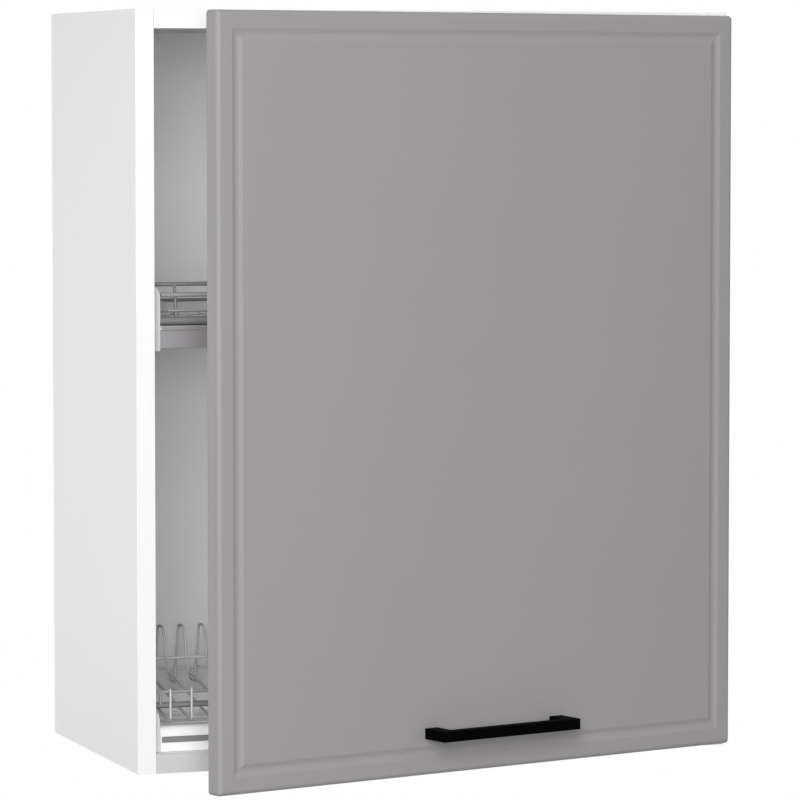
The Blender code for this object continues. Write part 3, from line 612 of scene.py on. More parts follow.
@dataclass
class Studio:
    """Camera, lamps, backdrop and floor."""

    lens: float = 202.29
    sensor: float = 36.0
    position: Point = (-1.470295, -4.347583, 0.280100)
    forward: Point = (0.33283, 0.94055, -0.06778)
    sight: float = 100.0
    floor_level: float = -1.75
    floor_size: float = 60.0
    floor_albedo: float = 0.3
    ambient: float = 0.4
    lamps: tuple[Lamp, ...] = (
        Lamp("front_lamp", (-1.4, -3.85, 0.4), 1.0, 60.0),
        Lamp("raised_lamp", (-1.28, -3.5, 1.4), 1.3, 46.0),
        Lamp("low_lamp", (-1.35, -3.8, -0.6), 1.4, 9.0),
        Lamp("rear_left_lamp", (-1.6, 1.6, -0.1), 1.4, 14.0),
    )

    def set_up(self) -> None:
        """Build everything around the object."""
        self.add_camera()
        self.light_world()
        for lamp in self.lamps:
            lamp.light_up()
        self.lay_floor()
        bpy.context.scene.view_settings.view_transform = "Standard"

    def add_camera(self) -> None:
        """Place the camera where the photograph was taken from."""
        data = bpy.data.cameras.new("photo_camera")
        data.lens = self.lens
        data.sensor_width = self.sensor
        data.clip_end = self.sight
        camera = add_object("photo_camera", data)
        camera.location = self.position
        camera.rotation_euler = Vector(self.forward).to_track_quat("-Z", "Y").to_euler()
        bpy.context.scene.camera = camera

    def light_world(self) -> None:
        """White where the camera or a reflection sees it, a plain level where it lights."""
        world = bpy.data.worlds.new("studio")
        bpy.context.scene.world = world
        world.use_nodes = True
        nodes = world.node_tree.nodes
        nodes.clear()
        lit = nodes.new("ShaderNodeBackground")
        lit.inputs["Color"].default_value = (1, 1, 1, 1)
        lit.inputs["Strength"].default_value = self.ambient
        white = nodes.new("ShaderNodeBackground")
        self._white_where_seen(world.node_tree, lit, white, "ShaderNodeOutputWorld")

    @staticmethod
    def _white_where_seen(tree: bpy.types.NodeTree, lighting: bpy.types.Node, white: bpy.types.Node,
                          output: str) -> None:
        """Choose the white node for camera, glossy and transmission rays.

        Args:
            tree: The node tree to finish.
            lighting: The node that all the other rays meet.
            white: The glowing node.
            output: The type of the tree's output node.
        """
        nodes = tree.nodes
        links = tree.links
        white.inputs["Color"].default_value = (1, 1, 1, 1)
        white.inputs["Strength"].default_value = 1.0
        rays = nodes.new("ShaderNodeLightPath")
        seen = rays.outputs["Is Camera Ray"]
        for name in ("Is Glossy Ray", "Is Transmission Ray"):
            either = nodes.new("ShaderNodeMath")
            either.operation = "MAXIMUM"
            links.new(seen, either.inputs[0])
            links.new(rays.outputs[name], either.inputs[1])
            seen = either.outputs[0]
        choice = nodes.new("ShaderNodeMixShader")
        out = nodes.new(output)
        links.new(seen, choice.inputs["Fac"])
        links.new(lighting.outputs[0], choice.inputs[1])
        links.new(white.outputs[0], choice.inputs[2])
        links.new(choice.outputs["Shader"], out.inputs["Surface"])

    def lay_floor(self) -> None:
        """A pale floor well below the hanging object, white where it is seen."""
        half = self.floor_size / 2
        shape = bmesh.new()
        corners = [(-half, -half), (half, -half), (half, half), (-half, half)]
        shape.faces.new([shape.verts.new((x, y, self.floor_level)) for x, y in corners])
        floor = add_mesh("floor", shape)
        material = bpy.data.materials.new("pale_floor")
        material.use_nodes = True
        nodes = material.node_tree.nodes
        nodes.clear()
        paint = nodes.new("ShaderNodeBsdfDiffuse")
        paint.inputs["Color"].default_value = (*[self.floor_albedo] * 3, 1)
        glow = nodes.new("ShaderNodeEmission")
        self._white_where_seen(material.node_tree, paint, glow, "ShaderNodeOutputMaterial")
        floor.data.materials.append(material)


@dataclass
class Carcass:
    """The board box with its edge bands, cam caps and the thin back."""

    band_thick: float = 0.8 * MM
    band_joint: float = 0.06 * MM
    band_round: float = 0.5 * MM
    board_edge: float = 0.25 * MM
    cap_radius: float = 8.5 * MM
    cap_height: float = 0.9 * MM
    cap_shape: Outline = ((1, 0), (1, 0.4), (0.93, 0.85), (0.8, 1))
    cap_from_side: float = 34 * MM
    cap_depths: tuple[float, float] = (-250 * MM, -60 * MM)
    nail_radius: float = 2.2 * MM
    nail_height: float = 0.5 * MM
    nail_shape: Outline = ((1, -1), (1, 0.3), (0.6, 0.7))
    nail_from_edge: float = 8 * MM
    nail_rows: tuple[int, int] = (7, 5)

    def build(self) -> None:
        """Build the four boards, their bands, the caps and the nails."""
        for name in ("side_panel_left", "side_panel_right", "top_panel", "bottom_panel"):
            self.build_board(name)
        self.build_caps()
        keep_node("back_panel", BACK_BOARD)
        self.build_nails()

    def build_board(self, name: str) -> None:
        """One laminated board with a separate band along its front edge.

        Args:
            name: The CAD node that it replaces.
        """
        low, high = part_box(name)
        front = low.y + self.band_thick
        board = slab((low.x, front, low.z), high, self.board_edge)
        fit_piece(f"{name}_board", board, LAMINATE, Body.CARCASS, [name])
        band = slab(low, (high.x, front - self.band_joint, high.z), self.band_round)
        # The bottom band takes the darker copy of the edge band: painted shade.
        finish = SHADED_BOTTOM_BAND if name == "bottom_panel" else EDGE_BAND
        fit_piece(f"{name}_edge_band", band, finish, Body.CARCASS)

    def build_caps(self) -> None:
        """Low round caps over the cams, on the outer faces of top and bottom."""
        for name, face, sense in (("top_panel", 1, 1), ("bottom_panel", 0, -1)):
            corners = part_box(name)
            rise = sense * self.cap_height
            caps = [button(self.cap_shape, (x, y), along_z, corners[face].z, rise, self.cap_radius, 40)
                    for x in (corners[0].x + self.cap_from_side, corners[1].x - self.cap_from_side)
                    for y in self.cap_depths]
            fit_piece(f"{name}_cam_caps", merge(caps), EDGE_BAND, Body.CARCASS)

    def build_nails(self) -> None:
        """Flat nail heads around the edge of the back."""
        low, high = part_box("back_panel")
        inset = self.nail_from_edge
        upright, across = self.nail_rows
        places = [(x, z) for x in (low.x + inset, high.x - inset)
                  for z in spread(low.z + 4 * inset, high.z - 4 * inset, upright)]
        places += [(x, z) for z in (low.z + inset, high.z - inset)
                   for x in spread(low.x + 4 * inset, high.x - 4 * inset, across)]
        heads = [button(self.nail_shape, place, along_y, high.y, self.nail_height, self.nail_radius, 14)
                 for place in places]
        fit_piece("back_panel_nails", merge(heads), NICKEL, Body.CARCASS)


@dataclass
class Door:
    """The slab with its milled frame groove, and its two bumpers."""

    left: float = -298.5 * MM
    right: float = 298.5 * MM
    bottom: float = -356.5 * MM
    top: float = 356.5 * MM
    corner: float = 3.5 * MM
    corner_steps: int = 5
    rounding: float = 5 * MM
    rounding_steps: int = 7
    narrowing: float = 0.4
    rear_ease: float = 0.5 * MM
    ease_shape: Outline = ((1, 0), (0.3, 0.3), (0, 1))
    sheet: float = 0.4 * MM
    sheet_joint: float = 0.04 * MM
    bore_radius: float = 17.6 * MM
    bore_depth: float = 12 * MM
    groove_inset: float = 16.2 * MM
    groove_width: float = 12 * MM
    groove_depth: float = 1.6 * MM
    groove_shape: Outline = (
        (0.0, 0.0), (0.02, 0.03), (0.05, 0.1), (0.32, 0.9), (0.37, 0.98), (0.43, 1.0),
        (0.54, 1.0), (0.6, 0.97), (0.65, 0.89), (0.92, 0.11), (0.96, 0.03), (1.0, 0.0),
    )
    mitre: float = 0.6 * MM
    bumper_radius: float = 4 * MM
    bumper_height: float = 1.6 * MM
    bumper_shape: Outline = ((1, 0), (0.97, 0.5), (0.75, 0.9), (0.35, 1))
    bumper_inset: float = 11 * MM

    def build(self) -> None:
        """Build the film-faced panel, the white sheet on its rear and the bumpers."""
        panel = loft([self.loop(*level) for level in self.levels()])
        fit_piece("door_slab", carve(panel, self.cup_bores()), DOOR_FILM, Body.DOOR, ["door_panel"])
        inset = self.rear_ease + self.sheet
        sheet = slab((self.left + inset, DOOR_REAR - self.sheet, self.bottom + inset),
                     (self.right - inset, DOOR_REAR, self.top - inset), self.sheet / 4)
        fit_piece("door_rear_sheet", carve(sheet, self.cup_bores()), LAMINATE, Body.DOOR)
        self.build_bumpers()

    def cup_bores(self) -> list[Mesh]:
        """Cutters for the two hinge cups."""
        profile = [(self.bore_radius, DOOR_REAR - self.bore_depth), (self.bore_radius, DOOR_REAR + OVERRUN)]
        return [lathe(profile, (CUP_X, level), along_y, 64) for level in HINGE_LEVELS.values()]

    def build_bumpers(self) -> None:
        """Two clear bumpers in the corners away from the hinges."""
        inset = self.bumper_inset
        bumpers = [button(self.bumper_shape, (self.left + inset, z), along_y, DOOR_REAR, self.bumper_height,
                          self.bumper_radius, 24) for z in (self.bottom + inset, self.top - inset)]
        fit_piece("door_bumpers", merge(bumpers), RUBBER, Body.DOOR)

    def levels(self) -> list[tuple[float, float, float]]:
        """The door's nested loops as inset, level and corner radius, from the rear to the field.

        Returns:
            One triple for each loop.
        """
        rear = DOOR_REAR - self.sheet - self.sheet_joint
        found = []
        for inset, drop in self.ease_shape:
            width = self.rear_ease * inset
            found.append((width, rear - self.rear_ease * drop, self.corner - width))
        for turn in spread(0, math.pi / 2, self.rounding_steps):
            width = self.rounding * (1 - math.cos(turn))
            level = DOOR_FRONT + self.rounding * (1 - math.sin(turn))
            found.append((width, level, max(self.mitre, self.corner - width * self.narrowing)))
        for share, depth in self.groove_shape:
            found.append((self.groove_inset + share * self.groove_width,
                          DOOR_FRONT + depth * self.groove_depth, self.mitre))
        return found

    def loop(self, inset: float, level: float, corner: float) -> list[Point]:
        """A rounded rectangle of the door.

        Args:
            inset: Distance from the door's outline.
            level: Its Y.
            corner: Radius of its corners.

        Returns:
            The loop's points.
        """
        low = (self.left + inset + corner, self.bottom + inset + corner)
        high = (self.right - inset - corner, self.top - inset - corner)
        centres = (high, (low[0], high[1]), low, (high[0], low[1]))
        points = []
        for i, centre in enumerate(centres):
            points += [(x, level, z) for x, z in
                       arc(centre, corner, i * math.pi / 2, (i + 1) * math.pi / 2, self.corner_steps)]
        return points


@dataclass
class Handle:
    """The square bar on two legs and the screws that hold it from behind."""

    middle: float = 10.5 * MM
    level: float = -316.9 * MM
    length: float = 159.3 * MM
    reach: float = 31.7 * MM
    bar: float = 10 * MM
    leg: float = 14 * MM
    foot: float = DOOR_FRONT - SEAT
    foot_bend: float = 0.05 * MM
    outer_bend: float = 1.2 * MM
    inner_bend: float = 2.2 * MM
    edge: float = 0.6 * MM
    screw_radius: float = 4.2 * MM
    screw_height: float = 2.1 * MM
    shank_radius: float = 1.9 * MM
    shank_bite: float = 6 * MM

    def build(self) -> None:
        """Build the bar with its legs, and both screws."""
        low = self.level - self.bar / 2
        bar = prism(self.outline(), along_z, low, low + self.bar, self.edge)
        fit_piece("handle_bar", bar, BLACK_COAT, Body.DOOR, ["handle"])
        rear = DOOR_REAR + SEAT
        for word, side in (("left", -1), ("right", 1)):
            middle = (self.middle + side * (self.length - self.leg) / 2, self.level)
            head = cross_screw(middle, along_y, rear, self.screw_height, self.screw_radius)
            shank = lathe([(self.shank_radius, self.foot - self.shank_bite), (self.shank_radius, rear)],
                          middle, along_y, 16)
            fit_piece(f"handle_fixing_{word}", merge([head, shank]), NICKEL, Body.DOOR,
                      [f"handle_screw_{word}"])

    def outline(self) -> list[tuple[float, float]]:
        """The handle seen from above with the door closed, its corners rounded.

        Returns:
            The outline's points in X and Y.
        """
        left = self.middle - self.length / 2
        right = self.middle + self.length / 2
        face = DOOR_FRONT - self.reach
        inner = face + self.bar
        corners = [(left + self.leg / 2, self.foot), (left, self.foot), (left, face), (right, face),
                   (right, self.foot), (right - self.leg, self.foot), (right - self.leg, inner),
                   (left + self.leg, inner), (left + self.leg, self.foot), (left + self.leg / 2, self.foot)]
        radii = [self.foot_bend, self.outer_bend, self.outer_bend, self.foot_bend,
                 self.foot_bend, self.inner_bend, self.inner_bend, self.foot_bend]
        path = bent_path([(x, y, 0) for x, y in corners], radii, math.radians(22))
        return [(point.x, point.y) for point in path[:-1]]


@dataclass
class Hinge:
    """One concealed hinge: plate and arm on the side, two links, cup in the door."""

    word: str
    level: float
    band_inner: float = 16.5 * MM
    band_thick: float = 1.5 * MM
    band_gap: float = 1 * MM
    band_height: float = 12 * MM
    band_start: float = math.radians(129)
    band_end: float = math.radians(174)
    band_root: float = math.radians(4)
    band_edge: float = 0.15 * MM
    edge: float = 0.3 * MM
    plate_face: float = 281.7 * MM
    plate_thick: float = 3 * MM
    plate_ends: tuple[float, float] = (-281 * MM, -234 * MM)
    plate_wings: tuple[float, float] = (-269 * MM, -256 * MM)
    plate_half: float = 8 * MM
    plate_reach: float = 25 * MM
    # Screws: reach from the hinge's level, where there are two, then rise and radius
    plate_screw: tuple[float, float, float] = (18 * MM, 1.3 * MM, 3.9 * MM)
    arm_seat: float = 278.4 * MM
    arm_far: float = 265.8 * MM
    arm_height: float = 13 * MM
    arm_end: float = -236 * MM
    arm_heel: float = 4 * MM
    arm_neck: tuple[float, float] = (-292 * MM, -288 * MM)
    nose_turn: float = math.radians(12)
    arm_screws: tuple[float, float] = (-243 * MM, -262 * MM)
    arm_screw: tuple[float, float] = (1.1 * MM, 3.4 * MM)
    cup_radius: float = 17.3 * MM
    cup_inner: float = 16.4 * MM
    cup_soft: float = 0.5 * MM
    cup_floor: float = -313.5 * MM
    cup_rim: float = -301.7 * MM
    flange_radius: float = 18.5 * MM
    flange_thick: float = 1 * MM
    wing_middle: float = 266.5 * MM
    wing_width: float = 15 * MM
    wing_length: float = 60 * MM
    wing_screw: tuple[float, float, float] = (23.5 * MM, 0.9 * MM, 3.7 * MM)

    def build(self) -> None:
        """Build all five parts of the hinge with their screws."""
        self.build_plate()
        self.build_arm()
        for name, order, body in (("outer_link", 2, Body.OUTER_LINKS), ("inner_link", 1, Body.INNER_LINKS)):
            node = f"hinge_{name}_{self.word}"
            fit_piece(f"{node}_band", self.band(order), NICKEL, body, [node])
        self.build_cup()

    def band(self, order: int, root: float = 0.0) -> Mesh:
        """One curved band in its closed place.

        Args:
            order: Its place in the nest, counted outwards from the cup.
            root: Extra angle at its far end.

        Returns:
            The band's mesh.
        """
        inner = self.band_inner + order * (self.band_thick + self.band_gap)
        centre = (HINGE_AXIS.x, HINGE_AXIS.y)
        end = self.band_end + root
        outline = (arc(centre, inner + self.band_thick, self.band_start, end, 24)
                   + arc(centre, inner, end, self.band_start, 24))
        half = self.band_height / 2
        return prism(outline, along_z, self.level - half, self.level + half, self.band_edge)

    def build_plate(self) -> None:
        """The cross-shaped mounting plate with a screw in each wing."""
        front, rear = self.plate_ends
        before, behind = self.plate_wings
        half = self.plate_half
        wing = self.plate_reach
        lower = [(front, -half), (before, -half), (before, -wing),
                 (behind, -wing), (behind, -half), (rear, -half)]
        outline = [*lower, *((y, -z) for y, z in reversed(lower))]
        raised = [(y, self.level + z) for y, z in outline]
        outer = self.plate_face - self.plate_thick
        node = f"hinge_plate_{self.word}"
        plate = prism(raised, along_x, outer, self.plate_face, self.edge)
        fit_piece(f"{node}_casting", plate, NICKEL, Body.CARCASS, [node])
        reach, rise, radius = self.plate_screw
        centres = [((before + behind) / 2, self.level + side * reach) for side in (-1, 1)]
        fit_screws(f"{node}_screws", centres, along_x, outer, -rise, radius, Body.CARCASS)

    def build_arm(self) -> None:
        """The arm with its nose band and its adjusting screws."""
        centre = (HINGE_AXIS.x, HINGE_AXIS.y)
        root = self.band_inner + 3 * (self.band_thick + self.band_gap) + self.band_thick / 2
        nose = arc(centre, root, self.band_start, self.band_start + self.nose_turn, 4)
        far = self.arm_far
        outline = [(self.arm_seat, self.arm_end), (far + self.arm_heel, self.arm_end),
                   (far, self.arm_end - self.arm_heel), (far, self.arm_neck[0]), *reversed(nose),
                   (self.arm_seat, self.arm_neck[1])]
        half = self.arm_height / 2
        arm = prism(outline, along_z, self.level - half, self.level + half, self.edge)
        node = f"hinge_arm_{self.word}"
        fit_piece(f"{node}_channel", merge([arm, self.band(3)]), NICKEL, Body.CARCASS, [node])
        rise, radius = self.arm_screw
        centres = [(y, self.level) for y in self.arm_screws]
        fit_screws(f"{node}_screws", centres, along_x, far, -rise, radius, Body.CARCASS)

    def build_cup(self) -> None:
        """The cup with its winged flange, the last band and two wing screws."""
        middle = (CUP_X, self.level)
        rim = self.cup_rim
        top = rim + self.flange_thick
        soft = self.cup_soft
        profile = [
            (self.cup_radius - soft, self.cup_floor), (self.cup_radius, self.cup_floor + soft),
            (self.cup_radius, rim), (self.flange_radius, rim), (self.flange_radius, top - soft / 2),
            (self.flange_radius - soft / 2, top), (self.cup_inner + soft, top), (self.cup_inner, top - soft),
            (self.cup_inner, self.cup_floor + 3 * soft), (self.cup_inner - soft, self.cup_floor + 2 * soft),
        ]
        cup = lathe(profile, middle, along_y, 64)
        radius = self.wing_width / 2
        reach = self.wing_length / 2 - radius
        outline = (arc((self.wing_middle, self.level + reach), radius, 0, math.pi, 12)
                   + arc((self.wing_middle, self.level - reach), radius, math.pi, math.tau, 12))
        mouth = [(self.cup_inner, rim - OVERRUN), (self.cup_inner, top + OVERRUN)]
        wing = carve(prism(outline, along_y, rim, top), [lathe(mouth, middle, along_y, 64)])
        pressing = merge([cup, wing, self.band(0, self.band_root)])
        node = f"hinge_cup_{self.word}"
        fit_piece(f"{node}_pressing", pressing, NICKEL, Body.DOOR, [node])
        reach, rise, head = self.wing_screw
        centres = [(self.wing_middle, self.level + side * reach) for side in (-1, 1)]
        fit_screws(f"{node}_screws", centres, along_y, top, rise, head, Body.DOOR)


@dataclass
class Hanger:
    """A wall hanger in a top rear corner: housing, adjusting screws and hook."""

    word: str
    edge: float = 1.5 * MM
    slot_depth: float = 36 * MM
    screw_reach: float = 11 * MM
    screw_rise: float = 1.2 * MM
    screw_radius: float = 4.5 * MM
    hook_half: float = 8 * MM
    hook_lip: float = 2.5 * MM
    hook_edge: float = 0.3 * MM

    def build(self) -> None:
        """Build the housing with its screws and the hook."""
        low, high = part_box(f"hanger_housing_{self.word}")
        hook_low, hook_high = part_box(f"hanger_hook_{self.word}")
        level = (low.z + high.z) / 2
        half = self.hook_half + SEAT
        cutter = slab((hook_low.x - SEAT, high.y - self.slot_depth, level - half),
                      (hook_high.x + SEAT, high.y + OVERRUN, level + half))
        housing = carve(slab(low, high, self.edge), [cutter])
        fit_piece(f"hanger_{self.word}_housing", housing, GREY_MOULDING, Body.CARCASS,
                  [f"hanger_housing_{self.word}"])
        centres = [((low.x + high.x) / 2, level + side * self.screw_reach) for side in (-1, 1)]
        fit_screws(f"hanger_{self.word}_screws", centres, along_y, low.y, -self.screw_rise,
                   self.screw_radius, Body.CARCASS)
        self.build_hook(hook_low, hook_high, level)

    def build_hook(self, low: Vector, high: Vector, level: float) -> None:
        """The steel hook that reaches through the back.

        Args:
            low: The low corner of the hook's box.
            high: Its high corner.
            level: Z of the middle of the housing.
        """
        bar = level - self.hook_half
        lip = high.y - self.hook_lip
        outline = [(low.y, bar), (lip, bar), (lip, low.z), (high.y, low.z), (high.y, high.z),
                   (low.y, high.z)]
        hook = prism(outline, along_x, low.x, high.x, self.hook_edge)
        fit_piece(f"hanger_{self.word}_hook", hook, NICKEL, Body.CARCASS, [f"hanger_hook_{self.word}"])


@dataclass
class EndBracket:
    """A moulded bracket on a side panel that carries one level's wires."""

    node: str
    side: int
    edge: float = 0.5 * MM
    round_width: float = 4.5 * MM
    round_drop: float = 13 * MM
    screw_radius: float = 3.4 * MM
    screw_stand: float = 0.25 * MM
    screw_depths: tuple[float, float] = (-215 * MM, -80 * MM)
    screw_drop: float = 20 * MM

    def build(self) -> None:
        """Build the moulding, steeply rounded towards the wires, and its two screws."""
        low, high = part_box(self.node)
        wall, inner = (low.x, high.x) if self.side < 0 else (high.x, low.x)
        squeeze = self.round_width / self.round_drop
        quarter = arc((0, 0), self.round_drop, math.pi, math.pi / 2, 10)
        rounded = [(inner + self.side * (self.round_width + u * squeeze), high.z - self.round_drop + v)
                   for u, v in quarter]
        outline = [(wall, low.z), (inner, low.z), *rounded, (wall, high.z)]
        moulding = prism(outline, along_y, low.y, high.y, self.edge)
        fit_piece(f"{self.node}_moulding", moulding, BRACKET_MOULDING, Body.CARCASS, [self.node])
        centres = [(y, high.z - self.screw_drop) for y in self.screw_depths]
        fit_screws(f"{self.node}_screws", centres, along_x, inner + self.side * SEAT,
                   -self.side * (SEAT + self.screw_stand), self.screw_radius, Body.CARCASS)


@dataclass
class CupShelf:
    """The fixed rails and the lift-out wire shelf above them."""

    rail_step: float = 3.5 * MM
    rail_wall: float = 3 * MM
    rail_lip: float = 4.5 * MM
    rail_edge: float = 0.4 * MM
    wire: float = 1.4 * MM
    cross_wire: float = 1.26 * MM
    cross_setback: float = 0.6 * MM
    base_radius: float = 4 * MM
    base_y: float = -267 * MM
    crest_radius: float = 2 * MM
    lean: float = 6 * MM
    post_radius: float = 1.45 * MM
    # Each bar's radius, drop below the crest and room at its ends
    bars: tuple[tuple[float, float, float], ...] = (
        (2.2 * MM, 9.9 * MM, 3 * MM),
        (1.2 * MM, 24.8 * MM, 8.7 * MM),
    )
    bar_bite: float = 0.3 * MM
    rear_bar_radius: float = 1.6 * MM
    rod_count: int = 5
    wire_count: int = 20
    post_count: int = 10
    wire_room: float = 12 * MM
    post_room: float = 17.4 * MM

    def build(self) -> None:
        """Build the rails, the grid and both guards."""
        self.build_rail("shelf_rail_front", 1)
        self.build_rail("shelf_rail_rear", -1)
        self.build_grid()
        self.build_front_guard()
        self.build_rear_guard()

    def build_rail(self, node: str, sign: int) -> None:
        """A channel with a lip along its top.

        Args:
            node: The CAD node that it replaces.
            sign: 1 where the channel opens towards the wall, -1 towards the door.
        """
        low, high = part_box(node)
        face = low.y if sign > 0 else high.y
        tall = high.z - low.z
        deep = high.y - low.y
        step = self.rail_step
        wall = self.rail_wall
        points = [(0, tall), (0, tall - self.rail_lip), (step, tall - self.rail_lip), (step, 0),
                  (deep, 0), (deep, wall), (step + wall, wall), (step + wall, tall - wall),
                  (deep, tall - wall), (deep, tall)]
        outline = [(face + sign * u, low.z + v) for u, v in points]
        rail = prism(outline, along_x, low.x, high.x, self.rail_edge)
        fit_piece(f"{node}_profile", rail, ALUMINIUM, Body.CARCASS, [node])

    def build_grid(self) -> None:
        """Long rods and short wires welded into one flat grid."""
        low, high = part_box("shelf_grid")
        level = (low.z + high.z) / 2
        rods = [rod_x(low.x, high.x, y, level, self.wire, 10)
                for y in spread(low.y + self.wire, high.y - self.wire, self.rod_count)]
        for x in spread(low.x + self.wire_room, high.x - self.wire_room, self.wire_count):
            ends = [(x, low.y + self.cross_setback, level), (x, high.y - self.cross_setback, level)]
            rods.append(sweep(ends, self.cross_wire, 10))
        fit_piece("shelf_grid_wires", merge(rods), LIGHT_WIRE, Body.CUP_SHELF, ["shelf_grid"])

    def build_front_guard(self) -> None:
        """Crest rod, thick base rod, the posts that lean between them and two bars in front of the posts."""
        low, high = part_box("shelf_front_guard")
        inner_low, inner_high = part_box("shelf_grid")
        base = Vector((0, self.base_y, low.z + self.base_radius))
        crest = Vector((0, self.base_y + self.lean, high.z - self.crest_radius))
        rods = [rod_x(low.x, high.x, crest.y, crest.z, self.crest_radius),
                rod_x(inner_low.x, inner_high.x, base.y, base.z, self.base_radius)]
        for x in self.post_places():
            shift = Vector((x, 0, 0))
            rods.append(sweep([base + shift, crest + shift], self.post_radius))
        # Crest rod, base rod and posts take the darkest wire copy: painted shade and painted reflection.
        fit_piece("shelf_front_guard_frame", merge(rods), SHADED_FRAME_ROD, Body.CUP_SHELF, ["shelf_front_guard"])
        bars = []
        for radius, drop, room in self.bars:
            post_y = crest.y - self.lean * drop / (crest.z - base.z)
            y = post_y - self.post_radius - radius + self.bar_bite
            bars.append(rod_x(room - RACK_REACH, RACK_REACH - room, y, crest.z - drop, radius))
        fit_piece("shelf_front_guard_bars", merge(bars), HALF_SHADED_THIN_ROD, Body.CUP_SHELF)

    def build_rear_guard(self) -> None:
        """One bar on short posts along the back of the grid."""
        low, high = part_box("shelf_rear_guard")
        y = (low.y + high.y) / 2
        crest = high.z - self.rear_bar_radius
        bar = rod_x(low.x, high.x, y, crest, self.rear_bar_radius)
        fit_piece("shelf_rear_guard_bar", bar, SHADED_FRAME_ROD, Body.CUP_SHELF, ["shelf_rear_guard"])
        posts = [rod_z(x, y, low.z, crest, self.wire) for x in self.post_places()]
        fit_piece("shelf_rear_guard_posts", merge(posts), LIGHT_WIRE, Body.CUP_SHELF)

    def post_places(self) -> list[float]:
        """X of the posts of both guards."""
        return spread(self.post_room - RACK_REACH, RACK_REACH - self.post_room, self.post_count)


@dataclass
class PlateRack:
    """The lift-out rack: two frames and a row of bent divider wires."""

    wire: float = 1.3 * MM
    thin: float = 1.6 * MM
    thick: float = 2.8 * MM
    front: float = -271.4 * MM
    rear: float = -55 * MM
    base: float = -315.8 * MM
    rise: float = 71 * MM
    thick_y: float = -267 * MM
    thick_z: float = -299.6 * MM
    thin_y: float = -268.2 * MM
    thin_z: float = -286.9 * MM
    frame_bend: float = 4.5 * MM
    # A divider's corners as shares of its length and its rise, and the bends between its ends
    length_share: tuple[float, ...] = (
        0, 0, 0.568, 0.686, 0.737, 0.743, 0.78, 0.855, 0.889, 0.908, 0.902, 0.995, 1,
    )
    rise_share: tuple[float, ...] = (
        0.448, 0, 0.345, 0.377, 0.596, 0.786, 1, 0.996, 0.532, 0.399, 0.155, 0.172, 0.297,
    )
    bends: tuple[float, ...] = (
        4.5 * MM, 9 * MM, 5 * MM, 6 * MM, 6 * MM, 6 * MM, 6 * MM, 9 * MM, 6 * MM, 3 * MM, 3 * MM,
    )
    count: int = 25
    first: float = -259.4 * MM
    last: float = 247 * MM

    def build(self) -> None:
        """Build both frames and all dividers."""
        self.build_front_frame()
        self.build_rear_frame()
        course = bent_path([(0, *corner) for corner in self.corners()], self.bends)
        for number, x in enumerate(spread(self.first, self.last, self.count), 1):
            path = [point + Vector((x, 0, 0)) for point in course]
            fit_piece(f"plate_wire_{number:02d}", sweep(path, self.wire, 10), SHADED_DIVIDER_WIRE, Body.PLATE_RACK,
                      [f"plate_divider_{number:02d}"])

    def corners(self) -> list[Vector]:
        """Corners of a divider in Y and Z.

        Returns:
            The corners from the picket's top to the rear hook.
        """
        length = self.rear - self.front
        return [Vector((self.front + length * along, self.base + self.rise * up))
                for along, up in zip(self.length_share, self.rise_share)]

    def build_front_frame(self) -> None:
        """The thick rod, and the thin rod above it on its end posts."""
        low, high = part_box("plate_rack_front_frame")
        thick = rod_x(low.x, high.x, self.thick_y, self.thick_z, self.thick)
        # The thick rod takes the darkest wire copy: painted shade and painted reflection.
        fit_piece("rack_thick_rod", thick, SHADED_FRAME_ROD, Body.PLATE_RACK, ["plate_rack_front_frame"])
        rods = [rod_z(x, self.thin_y, self.thick_z, self.thin_z, self.wire)
                for x in (-RACK_REACH, RACK_REACH)]
        rods.append(rod_x(low.x, high.x, self.thin_y, self.thin_z, self.thin, 12))
        fit_piece("rack_thin_rod", merge(rods), HALF_SHADED_THIN_ROD, Body.PLATE_RACK)

    def build_rear_frame(self) -> None:
        """A closed wire loop behind the legs and above the rear hooks."""
        corners = self.corners()
        leg = corners[4] - corners[3]
        first = corners[4] + Vector((leg.y, -leg.x)).normalized() * (self.wire + self.thin + SEAT)
        last = corners[-1] + Vector((0, SEAT + self.thin))
        low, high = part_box("plate_rack_rear_frame")
        left = low.x + self.thin
        right = high.x - self.thin
        ring = [(left, *first), (right, *first), (right, *last), (left, *last)]
        course = bent_path([ring[-1], *ring, ring[0]], [self.frame_bend] * 4)[1:-1]
        fit_piece("rack_rear_loop", sweep(course, self.thin, 12, closed=True), LIGHT_WIRE, Body.PLATE_RACK,
                  ["plate_rack_rear_frame"])


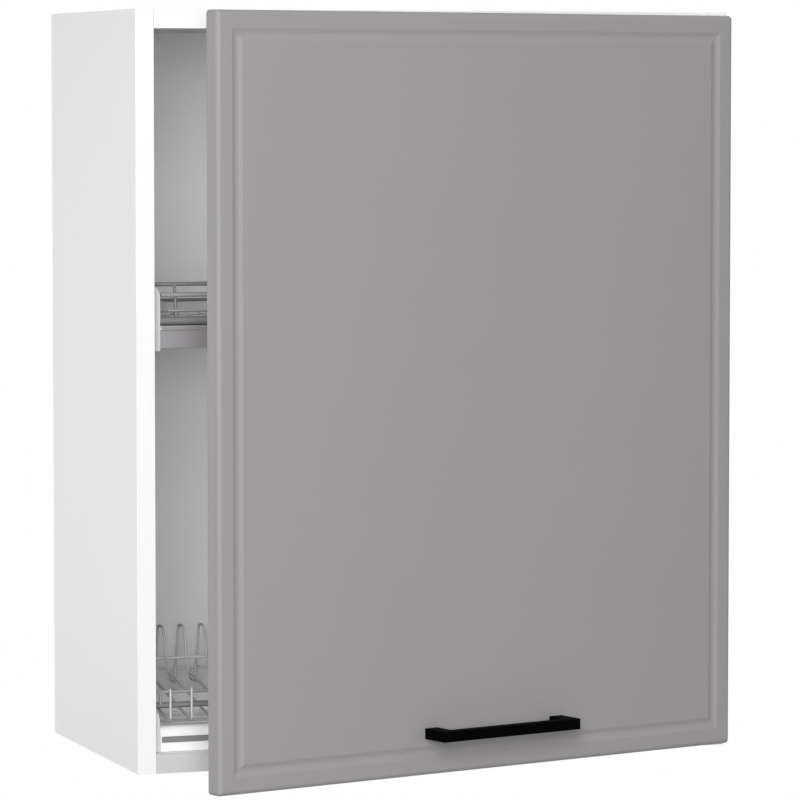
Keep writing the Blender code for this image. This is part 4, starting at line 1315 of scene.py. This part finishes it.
@dataclass
class DripTray:
    """The sliding tray: a trough behind a deep front wall with a finger channel."""

    wall: float = 2 * MM
    floor: float = 2 * MM
    front_wall: float = 12.4 * MM
    lip_round: float = 7 * MM
    channel: float = 5.7 * MM
    channel_rise: float = 8.7 * MM
    channel_depth: float = 7 * MM
    channel_end: float = 1.5 * MM
    shade_strip_setback: float = 2.5 * MM
    shade_strip_room: float = 0.15 * MM
    edge: float = 0.5 * MM
    rib_count: int = 7
    rib_room: float = 18 * MM
    rib_end: float = 8 * MM
    rib_width: float = 3 * MM
    rib_height: float = 1.2 * MM
    side_fit: float = 0.5 * MM

    def build(self) -> None:
        """Build the moulding with its rounded lip, a dark strip that paints the shade inside its channel,
        and the drain ribs.
        """
        low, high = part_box("drip_tray")
        low.x -= self.side_fit
        high.x += self.side_fit
        radius = self.lip_round
        lip = arc((low.y + radius, high.z - radius), radius, math.pi, math.pi / 2, 10)
        outline = [(low.y, low.z), *lip, (high.y, high.z), (high.y, low.z)]
        inner = low.y + self.front_wall
        hollow = slab((low.x + self.wall, inner, low.z + self.floor),
                      (high.x - self.wall, high.y - self.wall, high.z + OVERRUN))
        rise = low.z + self.channel_rise
        left = low.x + self.channel_end
        right = high.x - self.channel_end
        rear = low.y + self.channel_depth
        channel = slab((left, low.y - OVERRUN, rise), (right, rear, rise + self.channel))
        moulding = carve(prism(outline, along_x, low.x, high.x), [hollow, channel])
        fit_piece("drip_tray_moulding", ease(moulding, self.edge), WHITE_MOULDING, Body.TRAY, ["drip_tray"])
        # The dark strip in the channel is painted shade of the recess.
        room = self.shade_strip_room
        strip = slab((left + room, low.y + self.shade_strip_setback, rise + room),
                     (right - room, rear - room, rise + self.channel - room), self.edge)
        fit_piece("drip_tray_channel_painted_shade", strip, CHANNEL_SHADE_STRIP, Body.TRAY)
        self.build_ribs(low, high)

    def build_ribs(self, low: Vector, high: Vector) -> None:
        """Low ribs across the floor.

        Args:
            low: The tray's low corner.
            high: Its high corner.
        """
        top = low.z + self.floor
        left = low.x + self.rib_end
        right = high.x - self.rib_end
        ribs = [slab((left, y, top - SEAT), (right, y + self.rib_width, top + self.rib_height), self.edge)
                for y in spread(low.y + self.front_wall + self.rib_room, high.y - self.rib_room,
                                self.rib_count)]
        fit_piece("drip_tray_ribs", merge(ribs), WHITE_MOULDING, Body.TRAY)


def main() -> None:
    """Build the cabinet in order, from the studio to the tray."""
    logging.basicConfig(level=logging.INFO, format="%(name)s: %(message)s")
    Studio().set_up()
    Carcass().build()
    Door().build()
    Handle().build()
    for word, level in HINGE_LEVELS.items():
        Hinge(word, level).build()
    for word, side in (("left", -1), ("right", 1)):
        Hanger(word).build()
        EndBracket(f"shelf_bracket_{word}", side).build()
        EndBracket(f"rack_bracket_{word}", side).build()
    CupShelf().build()
    PlateRack().build()
    DripTray().build()


if __name__ == "__main__":
    main()
